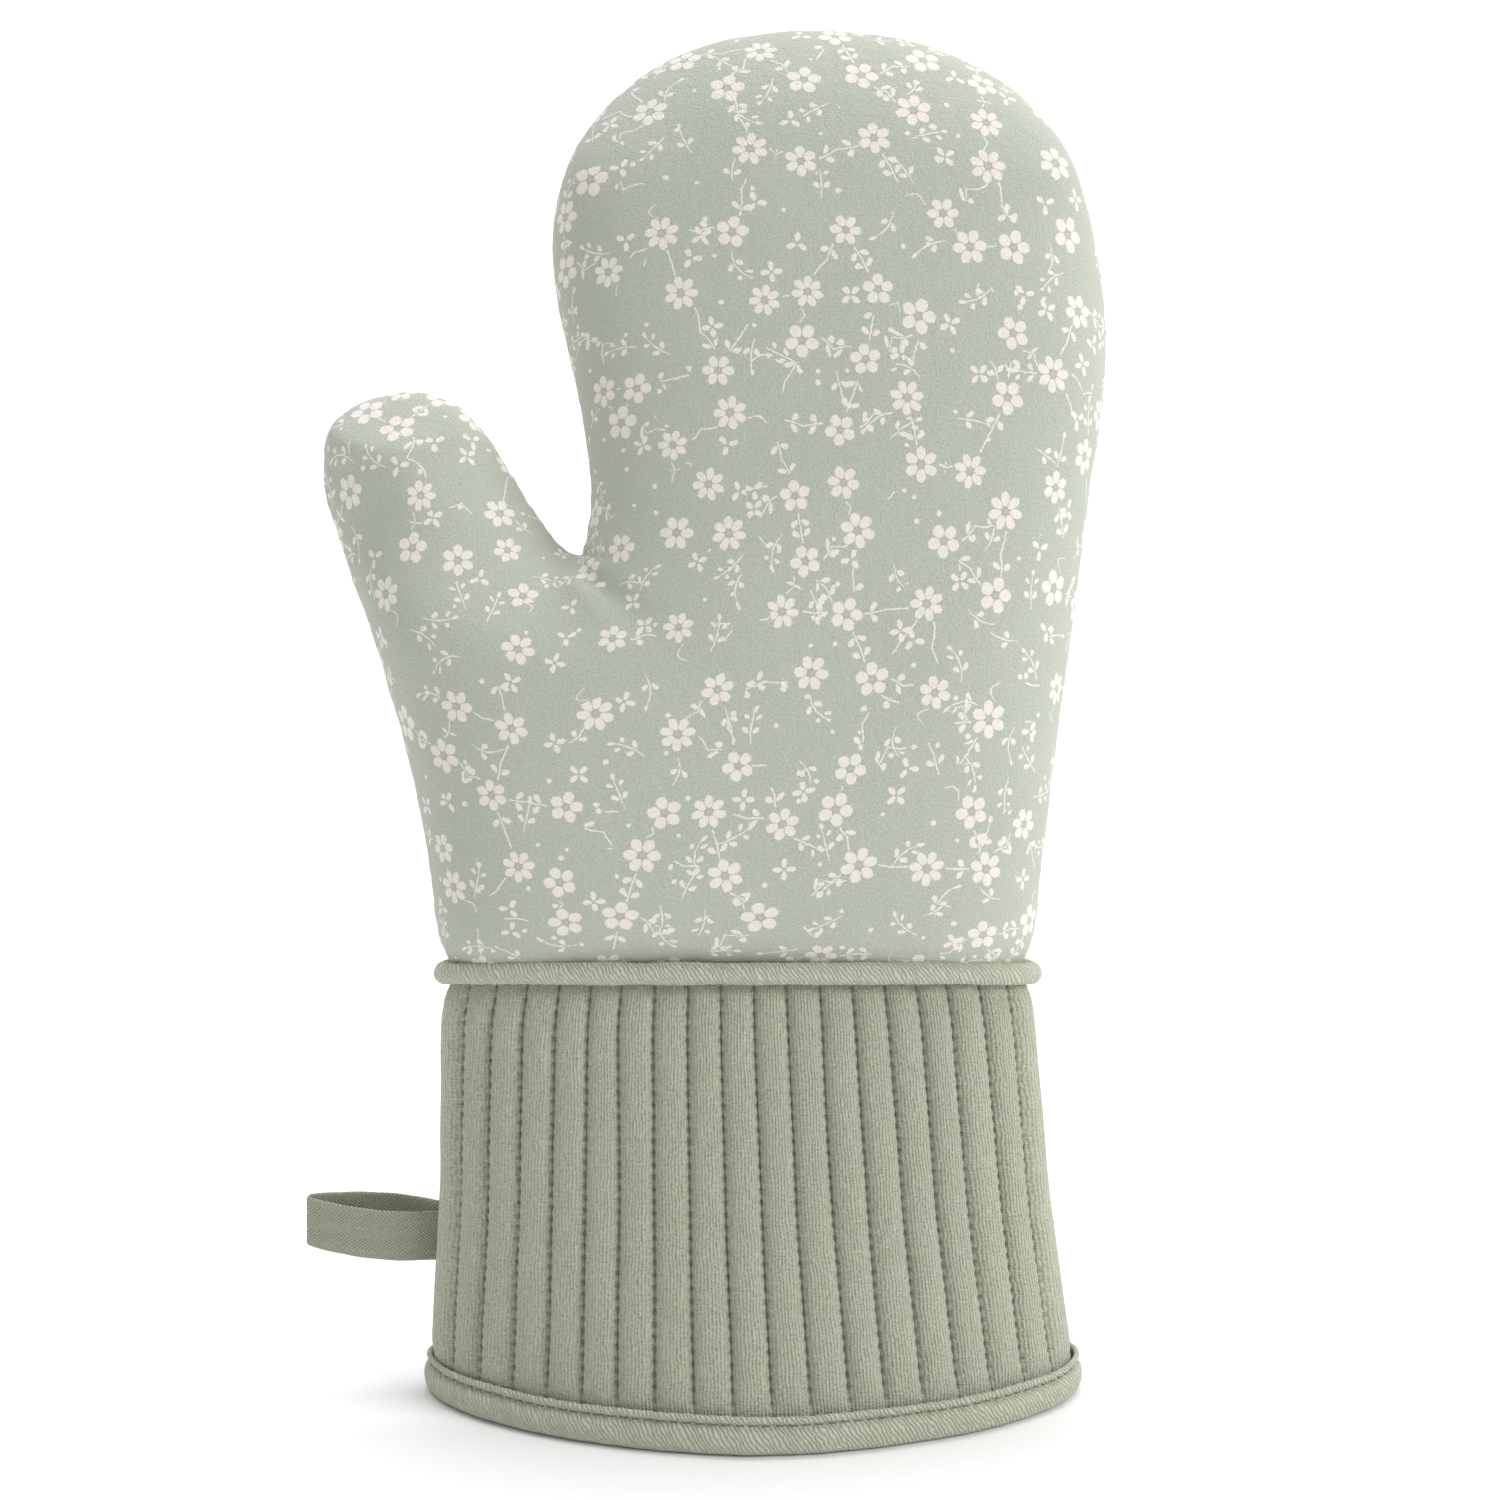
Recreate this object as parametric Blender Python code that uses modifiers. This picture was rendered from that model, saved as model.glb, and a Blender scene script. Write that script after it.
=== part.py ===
"""Padded oven mitt standing on the mouth of its cuff: a printed cotton hand with a thumb, a piped wrist,
a ribbed quilted cuff, a bound hem and a hanging loop that swings on its sewn edge.

Frame: metres, +Z up towards the fingertips, -Y the front, -X the thumb side. The origin is on the table
plane, under the middle of the mitt's bounding box. Driving dimensions below are in millimetres.
"""

import math

import bmesh
import bpy
from mathutils import Vector

MM = 0.001

# Cloth build-up, from the outside in.
GAP = 0.3
PRINT_CLOTH = 0.7
RIB_CLOTH = 0.8
HAND_WADDING = 3.4
CUFF_WADDING = 2.6
LINING = 0.7
TAPE = 1.0
BIAS_STRIP = 0.9
HALF_SEAM = 0.6  # front and back layers stop this far from the middle plane, where the seam thread runs
INNER_TRIM = 2.2  # the cuff's wadding and lining are cut back this far at its side seams

# The hand. A row crosses from the thumb side to the other side: ((x, z) left, (x, z) right, half depth).
PALM_ROWS = [
    ((-63.8, 105.3), (80.4, 105.3), 20.5),
    ((-68.0, 114.3), (83.5, 114.3), 24.5),
    ((-71.8, 144.3), (86.7, 144.3), 28.0),
    ((-80.5, 177.3), (91.0, 177.3), 30.0),
    ((-87.0, 197.3), (94.0, 198.3), 29.0),
]
FINGER_ROWS = [
    ((-29.4, 227.3), (97.5, 227.3), 28.0),
    ((-34.0, 258.3), (101.6, 258.3), 27.0),
    ((-39.0, 290.3), (99.0, 290.3), 24.5),
]
FINGER_TIP = [(-28.3, 321.0), (1.8, 341.6), (50.8, 342.3), (85.2, 322.2)]
THUMB_ROWS = [
    ((-93.0, 213.3), (-41.0, 219.3), 17.5),
    ((-97.6, 231.8), (-50.0, 233.8), 16.0),
]
THUMB_TIP = [(-90.0, 248.9), (-67.5, 251.6)]
CROTCH = (-32.4, 212.1)
FINGER_TIP_DEPTH = 18.0
THUMB_TIP_DEPTH = 12.0
TIP_INSET = 0.56  # how far up towards the tip the innermost ring of a tip lies

# Where the columns of a row lie across it, and how full the section is there.
PALM_COLUMNS = [
    (0.0, 0.0),
    (0.085, 0.74),
    (0.295, 0.97),
    (0.50, 1.0),
    (0.71, 0.97),
    (0.915, 0.74),
    (1.0, 0.0),
]
FINGER_COLUMNS = [(0.0, 0.0), (0.10, 0.74), (0.37, 0.98), (0.64, 0.98), (0.90, 0.74), (1.0, 0.0)]
THUMB_COLUMNS = [(0.0, 0.0), (0.29, 0.90), (0.71, 0.90), (1.0, 0.0)]
CROTCH_COLUMN = 2  # the palm column that ends under the crotch
CROTCH_FULLNESS = 0.72
HAND_BOTTOM = 108.4

# The cuff. Each row: (height, x left, x right, half depth, power) of the stitched-down level of the cloth.
# The power shapes the section: 2 is an ellipse, more is boxier, and less is closer to two arcs.
CUFF_ROWS = [
    (102.2, -63.8, 80.4, 20.5, 2.3),
    (97.0, -65.3, 81.8, 23.5, 2.25),
    (50.0, -65.9, 85.8, 31.5, 2.0),
    (11.5, -69.2, 91.6, 39.3, 1.8),
    (7.5, -69.4, 92.0, 39.8, 1.8),
    (1.8, -69.4, 92.2, 40.5, 1.8),
]
RIBS = 19
RIB_STEPS = (0.0, 0.92, 0.92)  # the height of a rib's section at each third of its width
RIB_HEIGHT = 1.4
RIBBED_ROWS = (1, 2, 3)
SMOOTH_STEPS = 18  # columns across half of a smooth cuff layer, the piping or the binding

# Trims and threads.
WRIST = 105.3
PIPING_RADIUS = 2.7
PIPING_CLOTH = 0.6
PIPING_OUTSET = 2.5
PIPING_FLANGE = 4.5
PIPING_SLIT = 0.45
PIPING_SIDES = 6
BINDING_PROFILE = [(2.9, 9.6), (3.3, 6.0), (2.8, 1.6), (1.4, 0.0), (-5.5, 0.0), (-6.9, 1.6), (-6.8, 8.0)]
TOPSTITCH = (3.9, 7.4)
THREAD_RADIUS = 0.3
SEAM_THREAD_RADIUS = 0.22
QUILT_OUTSET = 0.65
QUILT_TURN_OUTSET = 1.7
QUILT_TOP = 101.1
QUILT_BOTTOM = 5.0

# The hanging loop, seen from above: a tape from the left side seam, out and back.
LOOP_HEIGHT = 39.3
LOOP_WIDTH = 12.2
LOOP_END = -101.6
LOOP_BULGE = 9.0
LOOP_NECK = 1.4  # how far out of the seam the two bands start to part
LOOP_STAGGER = 0.9  # the front band sits this much lower, the back band this much higher
LOOP_SLOPE = 0.08
LOOP_STEPS = 24
LOOP_SEWN_DEPTH = 4.0
HINGE_X = -67.4


def clear_scene():
    for old in list(bpy.data.objects):
        bpy.data.objects.remove(old, do_unlink=True)


def new_collection(name, shown=True):
    collection = bpy.data.collections.new(name)
    collection.hide_render = not shown
    bpy.context.scene.collection.children.link(collection)
    return collection


def cloth_material(name, colour, roughness=0.9):
    material = bpy.data.materials.new(name)
    material.use_nodes = True
    shader = material.node_tree.nodes["Principled BSDF"]
    shader.inputs["Base Color"].default_value = (*colour, 1.0)
    shader.inputs["Roughness"].default_value = roughness
    shader.inputs["Metallic"].default_value = 0.0
    material.diffuse_color = (*colour, 1.0)
    return material


def add_object(name, data, material, collection):
    made = bpy.data.objects.new(name, data)
    collection.objects.link(made)
    data.materials.append(material)
    return made


def surface_object(name, rows, material, collection, closed=False):
    """An open surface through rows of points in millimetres; closed joins each row's end to its start."""
    width = len(rows[0])
    steps = width if closed else width - 1
    points = [Vector(point) * MM for row in rows for point in row]
    faces = [
        (i * width + j, (i + 1) * width + j, (i + 1) * width + (j + 1) % width, i * width + (j + 1) % width)
        for i in range(len(rows) - 1)
        for j in range(steps)
    ]
    mesh = bpy.data.meshes.new(name)
    mesh.from_pydata(points, [], faces)
    mesh.shade_smooth()
    return add_object(name, mesh, material, collection)


def solidify(made, thickness, offset=-1.0):
    """Thickness to an open surface: offset -1 keeps the surface as the outer face, 0 as the middle."""
    shell = made.modifiers.new("Thickness", "SOLIDIFY")
    shell.thickness = thickness * MM
    shell.offset = offset
    shell.use_even_offset = True


def cloth_layer(made, inset, thickness):
    """One layer of a build-up: from one depth below the outer surface to another."""
    triangles = made.modifiers.new("Triangles", "TRIANGULATE")
    triangles.quad_method = "FIXED"
    solidify(made, thickness, offset=-1.0 - 2.0 * inset / thickness)


def tube_object(name, points, radius, material, collection, closed=False):
    curve = bpy.data.curves.new(name, "CURVE")
    curve.dimensions = "3D"
    curve.bevel_depth = radius * MM
    curve.bevel_resolution = 0
    curve.use_fill_caps = not closed
    spline = curve.splines.new("POLY")
    spline.points.add(len(points) - 1)
    spline.use_cyclic_u = closed
    for control, point in zip(spline.points, points):
        control.co = (*(Vector(point) * MM), 1.0)
    return add_object(name, curve, material, collection)


def box_cutter(name, low, high, collection):
    bpy.ops.mesh.primitive_cube_add(size=1.0)
    cutter = bpy.context.active_object
    cutter.name = name
    cutter.location = (Vector(low) + Vector(high)) * MM / 2
    cutter.scale = (Vector(high) - Vector(low)) * MM
    cutter.display_type = "WIRE"
    cutter.hide_render = True
    for holder in list(cutter.users_collection):
        holder.objects.unlink(cutter)
    collection.objects.link(cutter)
    return cutter


def boolean(made, cutter, operation):
    cut = made.modifiers.new(cutter.name, "BOOLEAN")
    cut.operation = operation
    cut.object = cutter
    cut.solver = "EXACT"


# ---- the hand -------------------------------------------------------------------------------------------


def mix(a, b, share):
    return a + (b - a) * share


def row_points(row, columns):
    """(x, z, depth) across a row of the hand."""
    (left_x, left_z), (right_x, right_z), depth = row
    return [(mix(left_x, right_x, at), mix(left_z, right_z, at), depth * full) for at, full in columns]


def tip_points(last_row, tip, depth):
    """The ring just inside a tip: between the last row's inner points and the outline."""
    inner = last_row[1:-1]
    edge_depth = depth * 0.86
    depths = [edge_depth, *[depth] * (len(inner) - 2), edge_depth]
    return [
        (mix(x, tip_x, TIP_INSET), mix(z, tip_z, TIP_INSET), ring_depth)
        for (x, z, _), (tip_x, tip_z), ring_depth in zip(inner, tip, depths)
    ]


class HandCage:
    """The coarse mesh of one half of the hand; outline points (depth 0) are shared by both halves."""

    def __init__(self):
        self.mesh = bmesh.new()
        self.outline = {}

    def vertex(self, point, side):
        x, z, depth = point
        if depth > 0:
            return self.mesh.verts.new((x, side * depth, z))
        if (x, z) not in self.outline:
            self.outline[x, z] = self.mesh.verts.new((x, 0.0, z))
        return self.outline[x, z]

    def strip(self, low, high):
        for j in range(len(low) - 1):
            self.mesh.faces.new((low[j], low[j + 1], high[j + 1], high[j]))

    def tip(self, last, ring, outline):
        self.strip(last[1:-1], ring)
        self.strip(ring, outline)
        self.mesh.faces.new((last[0], last[1], ring[0], outline[0]))
        self.mesh.faces.new((last[-2], last[-1], outline[-1], ring[-1]))

    def half(self, side):
        palm = [row_points(row, PALM_COLUMNS) for row in PALM_ROWS]
        x, z, depth = palm[-1][CROTCH_COLUMN]
        palm[-1][CROTCH_COLUMN] = (x, z, depth * CROTCH_FULLNESS)
        fingers = [row_points(row, FINGER_COLUMNS) for row in FINGER_ROWS]
        thumb = [row_points(row, THUMB_COLUMNS) for row in THUMB_ROWS]
        finger_ring = tip_points(fingers[-1], FINGER_TIP, FINGER_TIP_DEPTH)
        thumb_ring = tip_points(thumb[-1], THUMB_TIP, THUMB_TIP_DEPTH)

        def made(points):
            return [self.vertex(point, side) for point in points]

        palm = [made(row) for row in palm]
        fingers = [made(row) for row in fingers]
        thumb = [made(row) for row in thumb]
        crotch = self.vertex((*CROTCH, 0.0), side)
        for rows in (palm, fingers, thumb):
            for low, high in zip(rows, rows[1:]):
                self.strip(low, high)
        under = palm[-1][CROTCH_COLUMN]
        self.strip(palm[-1][CROTCH_COLUMN:], fingers[0][1:])
        self.strip(palm[-1][: CROTCH_COLUMN + 1], thumb[0][:-1])
        self.mesh.faces.new((crotch, under, fingers[0][1], fingers[0][0]))
        self.mesh.faces.new((under, crotch, thumb[0][-1], thumb[0][-2]))
        self.tip(fingers[-1], made(finger_ring), made([(*point, 0.0) for point in FINGER_TIP]))
        self.tip(thumb[-1], made(thumb_ring), made([(*point, 0.0) for point in THUMB_TIP]))


def limit_point(vertex):
    """Where a vertex of a Catmull-Clark cage ends up on the smooth surface."""
    if vertex.is_boundary:
        ends = [edge.other_vert(vertex).co for edge in vertex.link_edges if edge.is_boundary]
        return (ends[0] + vertex.co * 4 + ends[1]) / 6
    near = {edge.other_vert(vertex) for edge in vertex.link_edges}
    count = len(near)
    total = vertex.co * count * count
    for other in near:
        total = total + other.co * 4
    for face in vertex.link_faces:
        for corner in face.verts:
            if corner is not vertex and corner not in near:
                total = total + corner.co
    return total / (count * (count + 5))


def fit_cage(mesh, rounds=30):
    """Moves the cage so that the smooth surface passes through its first points."""
    wanted = {vertex: vertex.co.copy() for vertex in mesh.verts}
    for _ in range(rounds):
        shift = {vertex: wanted[vertex] - limit_point(vertex) for vertex in mesh.verts}
        for vertex, step in shift.items():
            vertex.co += step


def hand_cage():
    cage = HandCage()
    for side in (-1, 1):
        cage.half(side)
    bmesh.ops.recalc_face_normals(cage.mesh, faces=cage.mesh.faces)
    fit_cage(cage.mesh)
    bmesh.ops.scale(cage.mesh, vec=(MM, MM, MM), verts=cage.mesh.verts)
    mesh = bpy.data.meshes.new("hand_cage")
    cage.mesh.to_mesh(mesh)
    cage.mesh.free()
    mesh.shade_smooth()
    return mesh


def smooth_bag(made):
    smooth = made.modifiers.new("Smooth", "SUBSURF")
    smooth.levels = 1
    smooth.render_levels = 1


def hand_layer(name, cage, inset, thickness, half_space, material, collection):
    made = add_object(name, cage.copy(), material, collection)
    smooth_bag(made)
    cloth_layer(made, inset, thickness)
    boolean(made, half_space, "INTERSECT")


def outline_path(cage, collection):
    """The hand's seam line, from the wrist round the thumb and fingers to the wrist, in millimetres."""
    helper = bpy.data.objects.new("outline_guide", cage)
    collection.objects.link(helper)
    helper.hide_render = True
    smooth_bag(helper)
    seen = helper.evaluated_get(bpy.context.evaluated_depsgraph_get()).to_mesh()
    middle = {v.index: v.co / MM for v in seen.vertices if abs(v.co.y) < 1e-6}
    links = {index: [] for index in middle}
    for edge in seen.edges:
        a, b = edge.vertices
        if a in middle and b in middle:
            links[a].append(b)
            links[b].append(a)
    ends = [index for index, others in links.items() if len(others) == 1]
    here = min(ends, key=lambda index: middle[index].x)
    order = [here]
    while len(order) < len(middle):
        here = next(other for other in links[here] if other not in order)
        order.append(here)
    path = [middle[index] for index in order]
    inset = PRINT_CLOTH / 2 + SEAM_THREAD_RADIUS
    return [
        (here.x + step.z * inset, 0.0, here.z - step.x * inset)
        for here, step in ((b, (c - a).normalized()) for a, b, c in zip(path, path[1:], path[2:]))
        if here.z > HAND_BOTTOM + GAP
    ]


# ---- the cuff and its trims ------------------------------------------------------------------------------


def half_section(left, right, depth, power, steps, back=False):
    """(x, y, normal x, normal y) at even distances along half of a cuff section, from left to right."""
    middle, half_width = (left + right) / 2, (right - left) / 2
    bend = 2 / power
    fine = 240
    curve = []
    for i in range(fine + 1):
        angle = math.pi * i / fine
        x = middle - math.copysign(abs(math.cos(angle)) ** bend, math.cos(angle)) * half_width
        curve.append(Vector((x, -HALF_SEAM - abs(math.sin(angle)) ** bend * (depth - HALF_SEAM))))
    along = [0.0]
    for a, b in zip(curve, curve[1:]):
        along.append(along[-1] + (b - a).length)
    points, k = [], 0
    for step in range(steps + 1):
        goal = along[-1] * step / steps
        while k < fine - 1 and along[k + 1] < goal:
            k += 1
        share = (goal - along[k]) / (along[k + 1] - along[k])
        points.append(curve[k].lerp(curve[k + 1], share))
    section = []
    for j, point in enumerate(points):
        before, after = points[max(j - 1, 0)], points[min(j + 1, steps)]
        normal = Vector((after.y - before.y, before.x - after.x)).normalized()
        if j in (0, steps):
            normal = Vector((-1.0 if j == 0 else 1.0, 0.0))
        side = -1.0 if back else 1.0
        section.append((point.x, point.y * side, normal.x, normal.y * side))
    return section


def cuff_rows(steps, back, trim, rib_height=0.0):
    """Rows of points over half of the cuff, cut back from the middle plane at the side seams."""
    rows = []
    for i, (height, left, right, depth, power) in enumerate(CUFF_ROWS):
        rib = rib_height if i in RIBBED_ROWS else 0.0
        row = []
        for j, (x, y, nx, ny) in enumerate(half_section(left, right, depth, power, steps, back)):
            reach = rib * RIB_STEPS[j % len(RIB_STEPS)]
            if j in (0, steps):
                y = math.copysign(trim, y)
            row.append((x + nx * reach, y + ny * reach, height))
        rows.append(row)
    return rows


def cuff_layer(name, layer, inset, thickness, back, material, collection):
    ribbed = layer == "panel"
    steps = RIBS * len(RIB_STEPS) if ribbed else SMOOTH_STEPS
    trim = HALF_SEAM if layer == "panel" else INNER_TRIM
    rows = cuff_rows(steps, back, trim, RIB_HEIGHT if ribbed else 0.0)
    if back:
        rows = [row[::-1] for row in rows]
    made = surface_object(name, rows, material, collection)
    cloth_layer(made, inset, thickness)
    return made


def ring_section(row):
    """A whole closed cuff section, at even distances, from the left seam round the front."""
    _, left, right, depth, power = row
    front = half_section(left, right, depth, power, SMOOTH_STEPS)
    back = half_section(left, right, depth, power, SMOOTH_STEPS, back=True)
    return front[:-1] + [(right, 0.0, 1.0, 0.0)] + back[-2:0:-1]


def swept_ring(row, profile, base=0.0):
    """Rows of points: each profile point (outset, height) carried round a cuff section."""
    section = ring_section(row)
    section[0] = (row[1], 0.0, -1.0, 0.0)
    return [[(x + nx * out, y + ny * out, base + up) for x, y, nx, ny in section] for out, up in profile]


def piping_profile():
    """Two plies of flange that part round the filler cord."""
    middle_radius = PIPING_RADIUS - PIPING_CLOTH / 2
    opening = math.asin(PIPING_SLIT / middle_radius)
    ring = [
        (
            PIPING_OUTSET - middle_radius * math.cos(mix(opening, 2 * math.pi - opening, i / PIPING_SIDES)),
            middle_radius * math.sin(mix(opening, 2 * math.pi - opening, i / PIPING_SIDES)),
        )
        for i in range(PIPING_SIDES + 1)
    ]
    return [(-PIPING_FLANGE, PIPING_SLIT), *ring, (-PIPING_FLANGE, -PIPING_SLIT)]


def wrist_piping(cloth, cord, collection):
    row = CUFF_ROWS[0]
    cover = surface_object(
        "wrist_piping_cover", swept_ring(row, piping_profile(), WRIST), cloth, collection, closed=True
    )
    solidify(cover, PIPING_CLOTH, offset=0.0)
    centre = swept_ring(row, [(PIPING_OUTSET, 0.0)], WRIST)[0]
    filler = tube_object(
        "wrist_piping_cord", centre, PIPING_RADIUS - PIPING_CLOTH - GAP, cord, collection, closed=True
    )
    filler.data.bevel_resolution = 1


def hem_binding(cloth, thread, collection):
    row = CUFF_ROWS[-1]
    binding = surface_object(
        "hem_binding", swept_ring(row, BINDING_PROFILE), cloth, collection, closed=True
    )
    solidify(binding, BIAS_STRIP)
    stitches = swept_ring(row, [TOPSTITCH])[0]
    tube_object("hem_topstitch_thread", stitches, THREAD_RADIUS, thread, collection, closed=True)


def quilting_path(back):
    """One thread that runs down and up the valleys between the ribs, turning under the piping and the hem."""
    steps = RIBS * len(RIB_STEPS)
    sections = [half_section(*row[1:], steps, back) for row in CUFF_ROWS]

    def outside(row, column, height, outset):
        x, y, nx, ny = sections[row][column]
        return (x + nx * outset, y + ny * outset, height)

    path = []
    for rib in range(1, RIBS):
        column = rib * len(RIB_STEPS)
        line = [outside(0, column, QUILT_TOP, QUILT_TURN_OUTSET)]
        line += [outside(row, column, CUFF_ROWS[row][0], QUILT_OUTSET) for row in (*RIBBED_ROWS, 4)]
        line.append(outside(5, column, QUILT_BOTTOM, QUILT_OUTSET))
        path += line if rib % 2 else line[::-1]
    return path


def side_seam_path(side):
    """The cuff's side seam thread, in the slot between the panels; the left one ends above the loop."""
    column = 1 if side < 0 else 2
    inset = -side * RIB_CLOTH / 2
    points = [(row[column] + inset, 0.0, row[0]) for row in CUFF_ROWS[1:4]]
    if side < 0:
        top, below = points[0], points[1]
        points[1:] = [(mix(below[0], top[0], 0.1), 0.0, LOOP_HEIGHT + LOOP_WIDTH)]
    return points


# ---- the hanging loop -------------------------------------------------------------------------------------


def loop_path():
    """The tape's middle line: (distance out from the hinge, y, rise), from the front end to the back end."""
    reach = HINGE_X - LOOP_END - TAPE / 2
    path = []
    for i in range(LOOP_STEPS + 1):
        angle = math.pi * i / LOOP_STEPS
        share = math.sin(angle) ** 0.9 if 0 < i < LOOP_STEPS else 0.0
        out = mix(LOOP_NECK, reach, share)
        swell = TAPE / 2 + GAP / 2 + LOOP_BULGE * math.sin(math.pi * share**0.8)
        y = 0.0 if i * 2 == LOOP_STEPS else -math.copysign(swell, math.cos(angle))
        path.append((out, y, LOOP_SLOPE * out - LOOP_STAGGER * math.cos(angle)))
    return path


def hanging_loop(tape, collection):
    rows = [
        [(HINGE_X - out, y, LOOP_HEIGHT + rise + edge * LOOP_WIDTH / 2) for out, y, rise in loop_path()]
        for edge in (1, -1)
    ]
    made = surface_object("hanging_loop", rows, tape, collection)
    solidify(made, TAPE, offset=0.0)


def loop_sewn_ends(tape, collection):
    """The two ends of the tape, stacked and caught in the left side seam."""
    half_height = LOOP_WIDTH / 2 + LOOP_STAGGER
    low = Vector((HINGE_X, -TAPE, LOOP_HEIGHT - half_height)) * MM
    high = Vector((HINGE_X + LOOP_SEWN_DEPTH, TAPE, LOOP_HEIGHT + half_height)) * MM
    bpy.ops.mesh.primitive_cube_add(size=1.0)
    made = bpy.context.active_object
    made.name = made.data.name = "loop_sewn_ends"
    made.location = (low + high) / 2
    made.scale = high - low
    made.data.materials.append(tape)
    for holder in list(made.users_collection):
        holder.objects.unlink(made)
    collection.objects.link(made)


def main():
    clear_scene()
    mitt = new_collection("oven_mitt")
    cutters = new_collection("cutters", shown=False)

    print_cloth = cloth_material("printed_cotton", (0.47, 0.52, 0.44))
    rib_cloth = cloth_material("ribbed_terry", (0.37, 0.40, 0.30))
    bias = cloth_material("bias_cotton", (0.38, 0.41, 0.31))
    twill = cloth_material("twill_tape", (0.29, 0.32, 0.23))
    wadding = cloth_material("wadding", (0.86, 0.85, 0.80))
    lining = cloth_material("lining_cotton", (0.50, 0.54, 0.46))
    thread = cloth_material("thread", (0.30, 0.33, 0.24), 0.6)
    cord = cloth_material("filler_cord", (0.80, 0.79, 0.74))

    cage = hand_cage()
    far = 400.0
    halves = {
        "front": box_cutter("front_half", (-far, -far, HAND_BOTTOM), (far, -HALF_SEAM, far), cutters),
        "back": box_cutter("back_half", (-far, HALF_SEAM, HAND_BOTTOM), (far, far, far), cutters),
    }
    slot_half = LOOP_WIDTH / 2 + LOOP_STAGGER + GAP
    stub_slot = box_cutter(
        "stub_slot",
        (HINGE_X - 3.0, -TAPE - GAP, LOOP_HEIGHT - slot_half),
        (HINGE_X + LOOP_SEWN_DEPTH + GAP, TAPE + GAP, LOOP_HEIGHT + slot_half),
        cutters,
    )
    hand_layers = [
        ("panel", PRINT_CLOTH, print_cloth),
        ("wadding", HAND_WADDING, wadding),
        ("lining", LINING, lining),
    ]
    cuff_layers = [
        ("panel", RIB_CLOTH, rib_cloth),
        ("wadding", CUFF_WADDING, wadding),
        ("lining", LINING, lining),
    ]
    for side, half_space in halves.items():
        inset = 0.0
        for layer, thickness, material in hand_layers:
            hand_layer(f"hand_{side}_{layer}", cage, inset, thickness, half_space, material, mitt)
            inset += thickness + GAP
        inset = 0.0
        for layer, thickness, material in cuff_layers:
            made = cuff_layer(
                f"cuff_{side}_{layer}", layer, inset, thickness, side == "back", material, mitt
            )
            boolean(made, stub_slot, "DIFFERENCE")
            inset += thickness + GAP
        tube_object(
            f"cuff_{side}_quilting_thread", quilting_path(side == "back"), THREAD_RADIUS, thread, mitt
        )

    tube_object(
        "hand_outline_seam_thread", outline_path(cage, cutters), SEAM_THREAD_RADIUS, thread, mitt
    )
    tube_object("cuff_left_seam_thread", side_seam_path(-1), SEAM_THREAD_RADIUS, thread, mitt)
    tube_object("cuff_right_seam_thread", side_seam_path(1), SEAM_THREAD_RADIUS, thread, mitt)
    wrist_piping(bias, cord, mitt)
    hem_binding(bias, thread, mitt)
    loop_sewn_ends(twill, mitt)
    hanging_loop(twill, mitt)


main()
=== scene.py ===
"""The looks of the oven mitt: padded hand, corded wrist piping, channel-quilted cuff, bound hem, tape loop.

Shapes are worked out in millimetres in the model's own frame (+Z to the fingertips, -Y the front) and scaled
to metres when a mesh is made. Each layer of cloth is its own closed piece.
"""

import math

import bmesh
import bpy
import numpy as np
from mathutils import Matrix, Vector, kdtree, noise


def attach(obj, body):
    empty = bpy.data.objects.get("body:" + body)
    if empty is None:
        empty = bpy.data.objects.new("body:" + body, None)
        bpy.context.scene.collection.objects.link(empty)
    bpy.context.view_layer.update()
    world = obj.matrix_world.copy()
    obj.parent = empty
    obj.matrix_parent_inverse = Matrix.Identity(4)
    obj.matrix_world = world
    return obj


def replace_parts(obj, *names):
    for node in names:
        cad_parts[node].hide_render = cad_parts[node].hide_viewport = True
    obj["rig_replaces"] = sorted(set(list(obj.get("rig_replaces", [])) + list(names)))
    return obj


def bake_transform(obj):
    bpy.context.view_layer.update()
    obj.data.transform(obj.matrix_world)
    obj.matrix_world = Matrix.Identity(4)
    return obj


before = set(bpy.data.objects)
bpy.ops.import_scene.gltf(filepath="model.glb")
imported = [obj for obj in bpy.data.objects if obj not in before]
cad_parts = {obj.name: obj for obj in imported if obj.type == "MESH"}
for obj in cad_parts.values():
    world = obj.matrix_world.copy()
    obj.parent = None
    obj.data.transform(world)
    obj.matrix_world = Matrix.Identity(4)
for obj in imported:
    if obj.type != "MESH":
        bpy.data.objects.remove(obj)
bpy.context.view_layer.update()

MM = 0.001
MITT, LOOP = "mitt", "hanging loop"

# ---- dimensions shared with the CAD model, in millimetres ----------------------------------------

PRINT_CLOTH, HAND_WADDING, LINING, GAP = 0.7, 3.4, 0.7, 0.3
RIB_CLOTH, TAPE = 0.8, 1.0

PALM_ROWS = [
    ((-63.8, 105.3), (80.4, 105.3), 20.5),
    ((-68.0, 114.3), (83.5, 114.3), 24.5),
    ((-71.8, 144.3), (86.7, 144.3), 28.0),
    ((-80.5, 177.3), (91.0, 177.3), 30.0),
    ((-87.0, 197.3), (94.0, 198.3), 29.0),
]
FINGER_ROWS = [
    ((-29.4, 227.3), (97.5, 227.3), 28.0),
    ((-34.0, 258.3), (101.6, 258.3), 27.0),
    ((-39.0, 290.3), (99.0, 290.3), 24.5),
]
FINGER_TIP = [(-28.3, 321.0), (1.8, 341.6), (50.8, 342.3), (85.2, 322.2)]
THUMB_ROWS = [
    ((-93.0, 213.3), (-41.0, 219.3), 17.5),
    ((-97.6, 231.8), (-50.0, 233.8), 16.0),
]
THUMB_TIP = [(-90.0, 248.9), (-67.5, 251.6)]
CROTCH = (-32.4, 212.1)
FINGER_TIP_DEPTH, THUMB_TIP_DEPTH, TIP_INSET = 18.0, 12.0, 0.56
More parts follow.
